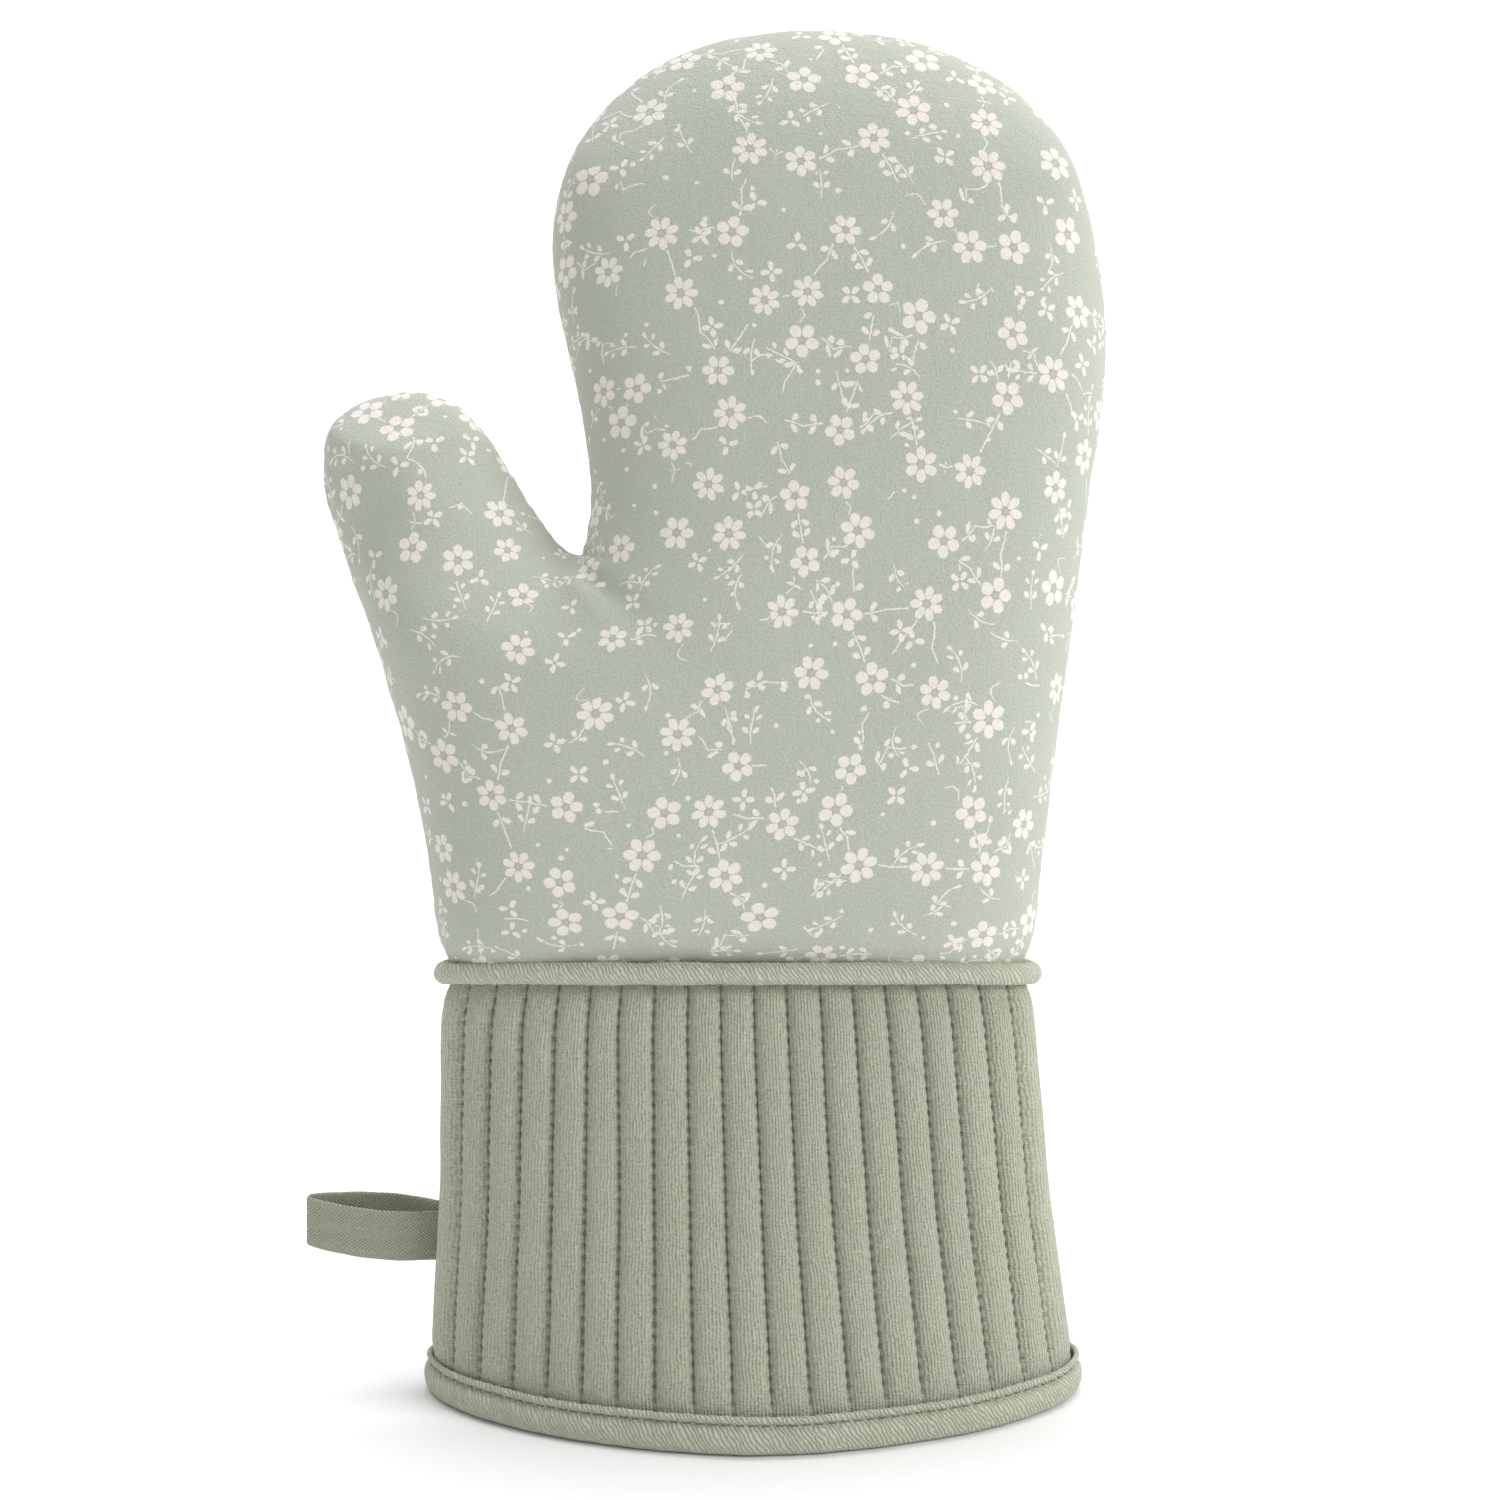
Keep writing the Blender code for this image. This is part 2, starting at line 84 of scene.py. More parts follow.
PALM_COLUMNS = [
    (0.0, 0.0),
    (0.085, 0.74),
    (0.295, 0.97),
    (0.50, 1.0),
    (0.71, 0.97),
    (0.915, 0.74),
    (1.0, 0.0),
]
FINGER_COLUMNS = [(0.0, 0.0), (0.10, 0.74), (0.37, 0.98), (0.64, 0.98), (0.90, 0.74), (1.0, 0.0)]
THUMB_COLUMNS = [(0.0, 0.0), (0.29, 0.90), (0.71, 0.90), (1.0, 0.0)]
CROTCH_COLUMN, CROTCH_FULLNESS = 2, 0.72

CUFF_ROWS = [
    (102.2, -63.8, 80.4, 20.5, 2.3),
    (97.0, -65.3, 81.8, 23.5, 2.25),
    (50.0, -65.9, 85.8, 31.5, 1.95),
    (11.5, -68.2, 91.6, 39.3, 1.7),
    (7.5, -68.0, 92.0, 39.8, 1.7),
    (1.8, -67.8, 92.2, 40.5, 1.7),
]
RIBS = 19
RIB_HEIGHT = 1.95

WRIST, WRIST_BOW = 105.3, 3.0
PIPING_RADIUS, PIPING_CLOTH, PIPING_OUTSET, PIPING_FLANGE, PIPING_SLIT = 2.7, 0.6, 2.0, 4.5, 0.45

LOOP_HEIGHT, LOOP_WIDTH, LOOP_END = 39.3, 12.2, -101.6
LOOP_BULGE, LOOP_NECK, LOOP_STAGGER, LOOP_SLOPE = 3.8, 1.4, 1.1, 0.08
HINGE_X = -67.4

# ---- meshes --------------------------------------------------------------------------------------


def mix(a, b, share):
    return a + (b - a) * share


def bell(distance, width):
    return np.exp(-((np.asarray(distance) / width) ** 2))


def soft_noise(points, size, seed=0.0):
    """Smooth noise from -1 to 1 at each point, features about `size` millimetres across."""
    shift = Vector((seed * 17.3, seed * 5.1, seed * 29.7))
    return np.array([noise.noise(Vector(point) / size + shift) for point in points])


def add_mesh(name, points, faces, material, replaces=(), uvs=None, smooth=True, body=MITT):
    """A piece from points in millimetres; uvs holds one cloth coordinate, in millimetres, per point."""
    mesh = bpy.data.meshes.new(name)
    mesh.from_pydata([tuple(p) for p in np.asarray(points) * MM], [], faces)
    if uvs is not None:
        layer = mesh.uv_layers.new(name="cloth")
        corner = np.empty(len(mesh.loops), np.int64)
        mesh.loops.foreach_get("vertex_index", corner)
        layer.data.foreach_set("uv", np.asarray(uvs, float)[corner].ravel())
    if smooth:
        mesh.shade_smooth()
    mesh.materials.append(material)
    piece = bpy.data.objects.new(name, mesh)
    bpy.context.scene.collection.objects.link(piece)
    if body:
        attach(piece, body)
    if replaces:
        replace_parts(piece, *replaces)
    return piece


def normals_of(points, faces):
    quads = np.array([f if len(f) == 4 else (*f, f[-1]) for f in faces])
    a, b, c, d = (points[quads[:, k]] for k in range(4))
    across = np.cross(c - a, d - b)
    total = np.zeros_like(points)
    for k in range(4):
        np.add.at(total, quads[:, k], across)
    return total / np.maximum(np.linalg.norm(total, axis=1, keepdims=True), 1e-9)


def shell(points, normals, faces, outer, inner):
    """A closed shell between two depths below a surface."""
    count = len(points)
    outer, inner = (np.broadcast_to(np.asarray(d, float), count)[:, None] for d in (outer, inner))
    both = np.vstack([points - normals * outer, points - normals * inner])
    edges = {}
    for face in faces:
        for a, b in zip(face, face[1:] + face[:1]):
            edges[a, b] = True
    rim = [(b, a, a + count, b + count) for a, b in edges if (b, a) not in edges]
    return both, faces + [tuple(v + count for v in reversed(face)) for face in faces] + rim


def grid_faces(rows, columns, closed=False, flip=False):
    steps = columns if closed else columns - 1
    faces = []
    for i in range(rows - 1):
        for j in range(steps):
            k = (j + 1) % columns
            face = (i * columns + j, (i + 1) * columns + j, (i + 1) * columns + k, i * columns + k)
            faces.append(face[::-1] if flip else face)
    return faces


def capsules(centres, directions, length, radius, sides=6):
    """Short rounded rods, one for each stitch that shows."""
    points, faces = [], []
    ends = [(-0.5, 0.05), (-0.44, 0.62), (-0.28, 0.95), (0.0, 1.0), (0.28, 0.95), (0.44, 0.62), (0.5, 0.05)]
    for centre, along in zip(centres, directions):
        along = Vector(along).normalized()
        side = along.orthogonal().normalized()
        up = along.cross(side)
        base = len(points)
        for at, wide in ends:
            for k in range(sides):
                turn = 2 * math.pi * k / sides
                reach = side * math.cos(turn) + up * math.sin(turn)
                points.append(Vector(centre) + along * (at * length) + reach * (radius * wide))
        for i in range(len(ends) - 1):
            for k in range(sides):
                n = (k + 1) % sides
                faces.append((base + i * sides + k, base + i * sides + n, base + (i + 1) * sides + n,
                              base + (i + 1) * sides + k))
        faces.append(tuple(base + k for k in reversed(range(sides))))
        faces.append(tuple(base + (len(ends) - 1) * sides + k for k in range(sides)))
    return np.array(points), faces


def tube(path, radius, sides=8, closed=False):
    """Rings of points along a path, with its ends closed."""
    path = np.asarray(path, float)
    count = len(path)
    if closed:
        tangent = np.roll(path, -1, 0) - np.roll(path, 1, 0)
    else:
        tangent = np.gradient(path, axis=0)
    points = []
    for p, t in zip(path, tangent):
        t = Vector(t).normalized()
        side = t.cross(Vector((0, 1, 0)))
        if side.length < 0.3:
            side = t.cross(Vector((0, 0, 1)))
        side.normalize()
        up = t.cross(side)
        for k in range(sides):
            turn = 2 * math.pi * k / sides
            points.append(Vector(p) + (side * math.cos(turn) + up * math.sin(turn)) * radius)
    faces = grid_faces(count, sides, closed=True)
    if closed:
        last = (count - 1) * sides
        faces += [(last + j, j, (j + 1) % sides, last + (j + 1) % sides) for j in range(sides)]
    else:
        faces.append(tuple(range(sides)))
        faces.append(tuple((count - 1) * sides + k for k in reversed(range(sides))))
    return np.array(points), faces


# ---- the hand's smooth surface -------------------------------------------------------------------


def row_points(row, columns):
    (left_x, left_z), (right_x, right_z), depth = row
    return [(mix(left_x, right_x, at), mix(left_z, right_z, at), depth * full) for at, full in columns]


def tip_points(last_row, tip, depth):
    inner = last_row[1:-1]
    depths = [depth * 0.86, *[depth] * (len(inner) - 2), depth * 0.86]
    return [
        (mix(x, tip_x, TIP_INSET), mix(z, tip_z, TIP_INSET), ring)
        for (x, z, _), (tip_x, tip_z), ring in zip(inner, tip, depths)
    ]


class HandCage:
    """The coarse mesh of the hand; the points of its outline are shared by front and back."""

    def __init__(self):
        self.mesh = bmesh.new()
        self.outline = {}
        for side in (-1, 1):
            self.half(side)
        bmesh.ops.recalc_face_normals(self.mesh, faces=self.mesh.faces)

    def vertex(self, point, side):
        x, z, depth = point
        if depth > 0:
            return self.mesh.verts.new((x, side * depth, z))
        if (x, z) not in self.outline:
            self.outline[x, z] = self.mesh.verts.new((x, 0.0, z))
        return self.outline[x, z]

    def strip(self, low, high):
        for j in range(len(low) - 1):
            self.mesh.faces.new((low[j], low[j + 1], high[j + 1], high[j]))

    def tip(self, last, ring, outline):
        self.strip(last[1:-1], ring)
        self.strip(ring, outline)
        self.mesh.faces.new((last[0], last[1], ring[0], outline[0]))
        self.mesh.faces.new((last[-2], last[-1], outline[-1], ring[-1]))

    def half(self, side):
        palm = [row_points(row, PALM_COLUMNS) for row in PALM_ROWS]
        x, z, depth = palm[-1][CROTCH_COLUMN]
        palm[-1][CROTCH_COLUMN] = (x, z, depth * CROTCH_FULLNESS)
        fingers = [row_points(row, FINGER_COLUMNS) for row in FINGER_ROWS]
        thumb = [row_points(row, THUMB_COLUMNS) for row in THUMB_ROWS]
        finger_ring = tip_points(fingers[-1], FINGER_TIP, FINGER_TIP_DEPTH)
        thumb_ring = tip_points(thumb[-1], THUMB_TIP, THUMB_TIP_DEPTH)

        def made(points):
            return [self.vertex(point, side) for point in points]

        palm, fingers, thumb = ([made(row) for row in rows] for rows in (palm, fingers, thumb))
        crotch = self.vertex((*CROTCH, 0.0), side)
        for rows in (palm, fingers, thumb):
            for low, high in zip(rows, rows[1:]):
                self.strip(low, high)
        under = palm[-1][CROTCH_COLUMN]
        self.strip(palm[-1][CROTCH_COLUMN:], fingers[0][1:])
        self.strip(palm[-1][: CROTCH_COLUMN + 1], thumb[0][:-1])
        self.mesh.faces.new((crotch, under, fingers[0][1], fingers[0][0]))
        self.mesh.faces.new((under, crotch, thumb[0][-1], thumb[0][-2]))
        self.tip(fingers[-1], made(finger_ring), made([(*point, 0.0) for point in FINGER_TIP]))
        self.tip(thumb[-1], made(thumb_ring), made([(*point, 0.0) for point in THUMB_TIP]))


def limit_point(vertex):
    """Where a vertex of a Catmull-Clark cage ends up on the smooth surface."""
    if vertex.is_boundary:
        ends = [edge.other_vert(vertex).co for edge in vertex.link_edges if edge.is_boundary]
        return (ends[0] + vertex.co * 4 + ends[1]) / 6
    near = {edge.other_vert(vertex) for edge in vertex.link_edges}
    count = len(near)
    total = vertex.co * count * count
    for other in near:
        total = total + other.co * 4
    for face in vertex.link_faces:
        for corner in face.verts:
            if corner is not vertex and corner not in near:
                total = total + corner.co
    return total / (count * (count + 5))


def hand_surface(levels, rounds=30):
    """(points in millimetres, quads) of the hand's whole smooth bag."""
    cage = HandCage().mesh
    wanted = {vertex: vertex.co.copy() for vertex in cage.verts}
    for _ in range(rounds):
        shift = {vertex: wanted[vertex] - limit_point(vertex) for vertex in cage.verts}
        for vertex, step in shift.items():
            vertex.co += step
    mesh = bpy.data.meshes.new("hand_cage")
    cage.to_mesh(mesh)
    cage.free()
    holder = bpy.data.objects.new("hand_cage", mesh)
    bpy.context.scene.collection.objects.link(holder)
    smooth = holder.modifiers.new("Smooth", "SUBSURF")
    smooth.levels = smooth.render_levels = levels
    seen = holder.evaluated_get(bpy.context.evaluated_depsgraph_get()).to_mesh()
    points = np.empty(len(seen.vertices) * 3)
    seen.vertices.foreach_get("co", points)
    faces = [tuple(face.vertices) for face in seen.polygons]
    bpy.data.objects.remove(holder)
    bpy.data.meshes.remove(mesh)
    return points.reshape(-1, 3), faces


def refine(points, faces, levels):
    """The same patch with each quad split; works on flat coordinates as well as on shapes."""
    if points.shape[1] == 2:
        points = np.column_stack([points, np.zeros(len(points))])
    mesh = bpy.data.meshes.new("patch")
    mesh.from_pydata([tuple(p) for p in points], [], faces)
    holder = bpy.data.objects.new("patch", mesh)
    bpy.context.scene.collection.objects.link(holder)
    split = holder.modifiers.new("Split", "SUBSURF")
    split.levels = split.render_levels = levels
    split.use_limit_surface = False
    seen = holder.evaluated_get(bpy.context.evaluated_depsgraph_get()).to_mesh()
    fine = np.empty(len(seen.vertices) * 3)
    seen.vertices.foreach_get("co", fine)
    fine_faces = [tuple(face.vertices) for face in seen.polygons]
    bpy.data.objects.remove(holder)
    bpy.data.meshes.remove(mesh)
    return fine.reshape(-1, 3), fine_faces


def half_of(points, normals, faces, side):
    """The front (side -1) or back (side 1) of the bag, with its own numbering."""
    centre = np.array([points[list(face)][:, 1].mean() for face in faces])
    kept = [face for face, y in zip(faces, centre) if y * side > 0]
    used = np.unique(np.array(kept))
    where = np.full(len(points), -1)
    where[used] = np.arange(len(used))
    return points[used].copy(), normals[used], [tuple(int(where[v]) for v in face) for face in kept]


def outline_of(points):
    """The seam's points in order from the wrist over thumb and fingers, with their lengths."""
    middle = points[np.abs(points[:, 1]) < 1e-4][:, [0, 2]]
    here = int(np.argmin(middle[:, 1] + middle[:, 0] * 0.01))
    left = set(range(len(middle))) - {here}
    order = [here]
    while left:
        near = min(left, key=lambda k: float(np.sum((middle[k] - middle[order[-1]]) ** 2)))
        left.remove(near)
        order.append(near)
    path = middle[order]
    steps = np.linalg.norm(np.diff(path, axis=0), axis=1)
    return path, np.concatenate([[0.0], np.cumsum(steps)])


def flat_cloth(points, faces, pinned):
    """Cloth coordinates: the panel laid flat with as little stretch as possible, in millimetres."""
    mesh = bpy.data.meshes.new("flat")
    mesh.from_pydata([tuple(p) for p in points], [], faces)
    holder = bpy.data.objects.new("flat", mesh)
    bpy.context.scene.collection.objects.link(holder)
    for other in bpy.context.selected_objects:
        other.select_set(False)
    bpy.context.view_layer.objects.active = holder
    holder.select_set(True)
    bpy.ops.object.mode_set(mode="EDIT")
    bpy.ops.mesh.select_all(action="SELECT")
    bpy.ops.uv.unwrap(method="MINIMUM_STRETCH", fill_holes=False, correct_aspect=True, margin=0.0)
    bpy.ops.object.mode_set(mode="OBJECT")
    corner = np.empty(len(mesh.loops), np.int64)
    mesh.loops.foreach_get("vertex_index", corner)
    uv = np.empty(len(mesh.loops) * 2)
    mesh.uv_layers.active.data.foreach_get("uv", uv)
    flat = np.zeros((len(points), 2))
    flat[corner] = uv.reshape(-1, 2)
    bpy.data.objects.remove(holder)
    bpy.data.meshes.remove(mesh)
    target = points[:, [0, 2]]
    weight = pinned[:, None]
    a = flat - (flat * weight).sum(0) / weight.sum()
    b = target - (target * weight).sum(0) / weight.sum()
    best = None
    for mirror in (1.0, -1.0):
        c = a * [mirror, 1.0]
        u, s, vt = np.linalg.svd((c * weight).T @ b)
        turn = u @ np.diag([1.0, np.sign(np.linalg.det(u @ vt))]) @ vt
        scale = (s * [1.0, np.sign(np.linalg.det(u @ vt))]).sum() / ((c * c) * weight).sum()
        error = (((c @ turn) * scale - b) ** 2 * weight).sum()
        if best is None or error < best[0]:
            best = (error, (c @ turn) * scale)
    first = np.array([face[0] for face in faces])
    second = np.array([face[1] for face in faces])
    true = np.linalg.norm(points[first] - points[second], axis=1).sum()
    laid = np.linalg.norm(best[1][first] - best[1][second], axis=1).sum()
    return best[1] * (true / laid) + (target * weight).sum(0) / weight.sum()


def line_dent(points, start, end, width, depth):
    """A fold that runs between two points of the front view and fades along its length."""
    a, b = np.array(start), np.array(end)
    along = (b - a) / np.linalg.norm(b - a)
    away = points[:, [0, 2]] - a
    t = away @ along / np.linalg.norm(b - a)
    off = away @ np.array([-along[1], along[0]])
    fade = np.clip(1.15 - t, 0, 1) ** 1.3 * np.clip((t + 0.10) * 5, 0, 1)
    return depth * fade * bell(off, width * (0.5 + 0.8 * np.clip(t, 0, 1)))


def hand_relief(points, side, path, lengths):
    """How far the cloth lies below the smooth surface: seam groove, puckers, folds and slack."""
    y = np.abs(points[:, 1])
    depth = 0.75 * bell(y, 0.8) + 0.35 * bell(y, 2.4)
    tree = kdtree.KDTree(len(path))
    for k, (x, z) in enumerate(path):
        tree.insert((x, 0.0, z), k)
    tree.balance()
    near = np.array([tree.find((x, 0.0, z))[1] for x, _, z in points])
    along = lengths[near]
    ripple = np.array([noise.noise(Vector((s / 3.6, side * 7.0, 0.0))) for s in lengths])[near]
    slow = np.array([noise.noise(Vector((s / 11.0, side * 3.0, 4.0))) for s in lengths])[near]
    inner_thumb = bell(along - lengths[np.argmin(np.hypot(*(path - np.array([-50.0, 234.0])).T))], 32.0)
    depth += (0.22 + 0.30 * inner_thumb) * ripple * bell(y - 2.2, 4.5)
    depth += 0.30 * slow * bell(y - 4, 8.0)
    depth += 0.45 * soft_noise(points * [1, 1, 0.8], 34.0, 1.0 + side)
    depth += 0.16 * soft_noise(points, 13.0, 2.0 + side)
    low = points[:, 2] - (WRIST + 3.0)
    gather = np.array([noise.noise(Vector((x / 5.5, side * 2.0, 0.0))) for x in points[:, 0]])
    depth += 0.22 * gather * bell(low, 8.0) + 0.5 * bell(low, 3.0)
    crotch = np.array(CROTCH)
    depth += line_dent(points, crotch, crotch + [13.0, -5.6], 1.7, 1.5)
    depth += line_dent(points, crotch + [3.0, -6.0], crotch + [26.0, -27.0], 4.2, 1.9)
    depth -= line_dent(points, crotch + [-1.0, -8.0], crotch + [16.0, -30.0], 5.0, 0.9)
    depth += line_dent(points, crotch + [-4.5, -6.0], crotch + [-12.0, -28.0], 2.6, 0.5)
    return depth


# ---- the cuff's section --------------------------------------------------------------------------


def section_sizes(height):
    """(left, right, half depth, power) of the cuff at a height, rounded off between its rows."""
    heights = np.array([row[0] for row in CUFF_ROWS[::-1]])
    spread = np.linspace(-5.0, 5.0, 9)
    at = np.clip(height + spread, -20, 103.5)
    return [float(np.interp(at, heights, [row[k] for row in CUFF_ROWS[::-1]]).mean()) for k in (1, 2, 3, 4)]


TURN = np.linspace(0, math.pi, 721)


def half_section(left, right, depth, power, shares, side=-1, seam=0.0):
    """Points and outward normals along half of a section, at shares of its length from left to right."""
    x = (left + right) / 2 - np.sign(np.cos(TURN)) * np.abs(np.cos(TURN)) ** (2 / power) * (right - left) / 2
    y = seam + np.abs(np.sin(TURN)) ** (2 / power) * (depth - seam)
    along = np.concatenate([[0.0], np.cumsum(np.hypot(np.diff(x), np.diff(y)))])
    at = np.asarray(shares) * along[-1]
    px, py = np.interp(at, along, x), np.interp(at, along, y)
    step = along[-1] * 0.004
    ax, ay = np.interp(at - step, along, x), np.interp(at - step, along, y)
    bx, by = np.interp(at + step, along, x), np.interp(at + step, along, y)
    nx, ny = -(by - ay), bx - ax
    long = np.maximum(np.hypot(nx, ny), 1e-9)
    nx, ny = nx / long, ny / long
    ends = at <= step
    nx[ends], ny[ends] = -1.0, 0.0
    ends = at >= along[-1] - step
    nx[ends], ny[ends] = 1.0, 0.0
    return px, side * py, nx, side * ny, at, along[-1]


def ring_section(height, count):
    """A whole section at even distances: points, normals and lengths, from the left seam round the front."""
    sizes = section_sizes(height)
    shares = np.linspace(0, 1, count // 2 + 1)
    fx, fy, fnx, fny, _, total = half_section(*sizes, shares)
    bx, by, bnx, bny, _, _ = half_section(*sizes, shares[::-1], side=1)
    px, py = np.concatenate([fx[:-1], bx[:-1]]), np.concatenate([fy[:-1], by[:-1]])
    nx, ny = np.concatenate([fnx[:-1], bnx[:-1]]), np.concatenate([fny[:-1], bny[:-1]])
    return px, py, nx, ny, np.linspace(0, 2 * total, count, endpoint=False)


def wrist_height(x):
    """The piping's height: it bows up in the middle of the front and of the back."""
    left, right, power = CUFF_ROWS[0][1], CUFF_ROWS[0][2], CUFF_ROWS[0][4]
    share = np.clip(np.abs(2 * (x - left) / (right - left) - 1), 0, 1)
    return WRIST + WRIST_BOW * (np.sqrt((1 - share**power) ** (2 / power) + 0.02) - 0.14)


RIB_SPOTS = np.array([0.0, 0.035, 0.08, 0.14, 0.22, 0.32, 0.44, 0.56, 0.68, 0.78, 0.86, 0.92, 0.965])
STITCH_PITCH = 2.75
RIB_CLOTH_WIDTH = 10.0
CUFF_COLUMNS = RIBS * len(RIB_SPOTS) + 1


def cuff_columns():
    """(place within its rib, rib number) for each column of a quilted panel."""
    spots = [(spot, rib) for rib in range(RIBS) for spot in RIB_SPOTS] + [(0.0, RIBS)]
    return np.array([s[0] for s in spots]), np.array([s[1] for s in spots])


def rib_shares(sizes):
    """Where the quilting lines lie along a half section: closer together in the middle than at the seams."""
    left, right, depth, power = sizes
    x, _, _, _, at, total = half_section(left, right, depth, power, np.linspace(0, 1, 241))
    even = np.arange(RIBS + 1) / RIBS
    level = np.interp(left + (right - left) * even, x, at / total)
    return mix(even, level, 0.62)


def valley_wander(rib_edge, z, side):
    """How far a quilting line strays from its place, in millimetres."""
    fixed = 0.45 * noise.noise(Vector((rib_edge * 1.7, side * 3.0, 0.5)))
    return fixed + 0.35 * noise.noise(Vector((rib_edge * 2.3, z / 38.0, side * 5.0)))


def cuff_panel_points(side, top, bottom, step, height, seam):
    """Rows of points over one quilted panel: normals, cloth coordinates, and distances from the left seam."""
    spot, rib = cuff_columns()
    after = np.minimum(rib + 1, RIBS)
    rows = int(round((top - bottom) / step)) + 1
    points, normals, uvs, alongs = [], [], [], []
    for i in range(rows):
        z = mix(top, bottom, i / (rows - 1))
        sizes = section_sizes(z)
        length = half_section(*sizes, [0.0, 1.0])[5]
        wander = np.array([0.0 if k in (0, RIBS) else valley_wander(k, z, side) for k in range(RIBS + 1)])
        lines = rib_shares(sizes) + wander / length
        moved = mix(lines[rib], lines[after], spot)
        x, y, nx, ny, at, _ = half_section(*sizes, np.clip(moved, 0, 1), side, seam)
        puff = (1 - np.abs(2 * spot - 1) ** 2.4) ** 0.62
        full = np.array(
            [1 + 0.16 * noise.noise(Vector((k * 1.3, z / 16.0, side * 2.0))) for k in range(RIBS + 1)]
        )
        upper = min(1.0, max(0.0, (top - z) / 5.0)) ** 0.6
        pressed = upper * min(1.0, max(0.12, (z - bottom - 6.0) / 5.0)) ** 0.6
        nearest = np.minimum(spot, 1 - spot) * length / RIBS
        held = math.cos(math.pi * z / STITCH_PITCH) ** 2
        dent = held * (0.42 * bell(nearest, 0.55) + 0.46 * bell(nearest - 0.95, 0.75))
        valley = 0.20 * bell(nearest, 0.8)
        reach = height * pressed * puff * full[rib] - (dent + valley) * pressed
        points.append(np.column_stack([x + nx * reach, y + ny * reach, np.full_like(x, z)]))
        normals.append(np.column_stack([nx, ny, np.zeros_like(nx)]))
        alongs.append(at)
        uvs.append(np.column_stack([(rib + spot) * RIB_CLOTH_WIDTH, np.full_like(at, z)]))
    return np.vstack(points), np.vstack(normals), np.vstack(uvs), rows, np.concatenate(alongs)


# ---- materials -----------------------------------------------------------------------------------


class Value:
    """One number or vector in a shader, with ordinary arithmetic."""

    def __init__(self, graph, socket):
        self.graph, self.socket = graph, socket

    def __add__(self, other):
        return self.graph.math("ADD", self, other)

    def __sub__(self, other):
        return self.graph.math("SUBTRACT", self, other)

    def __rsub__(self, other):
        return self.graph.math("SUBTRACT", other, self)

    def __mul__(self, other):
        return self.graph.math("MULTIPLY", self, other)

    def __truediv__(self, other):
        return self.graph.math("DIVIDE", self, other)

    def __rtruediv__(self, other):
        return self.graph.math("DIVIDE", other, self)

    def __gt__(self, other):
        return self.graph.math("GREATER_THAN", self, other)

    def __lt__(self, other):
        return self.graph.math("LESS_THAN", self, other)

    __radd__, __rmul__ = __add__, __mul__


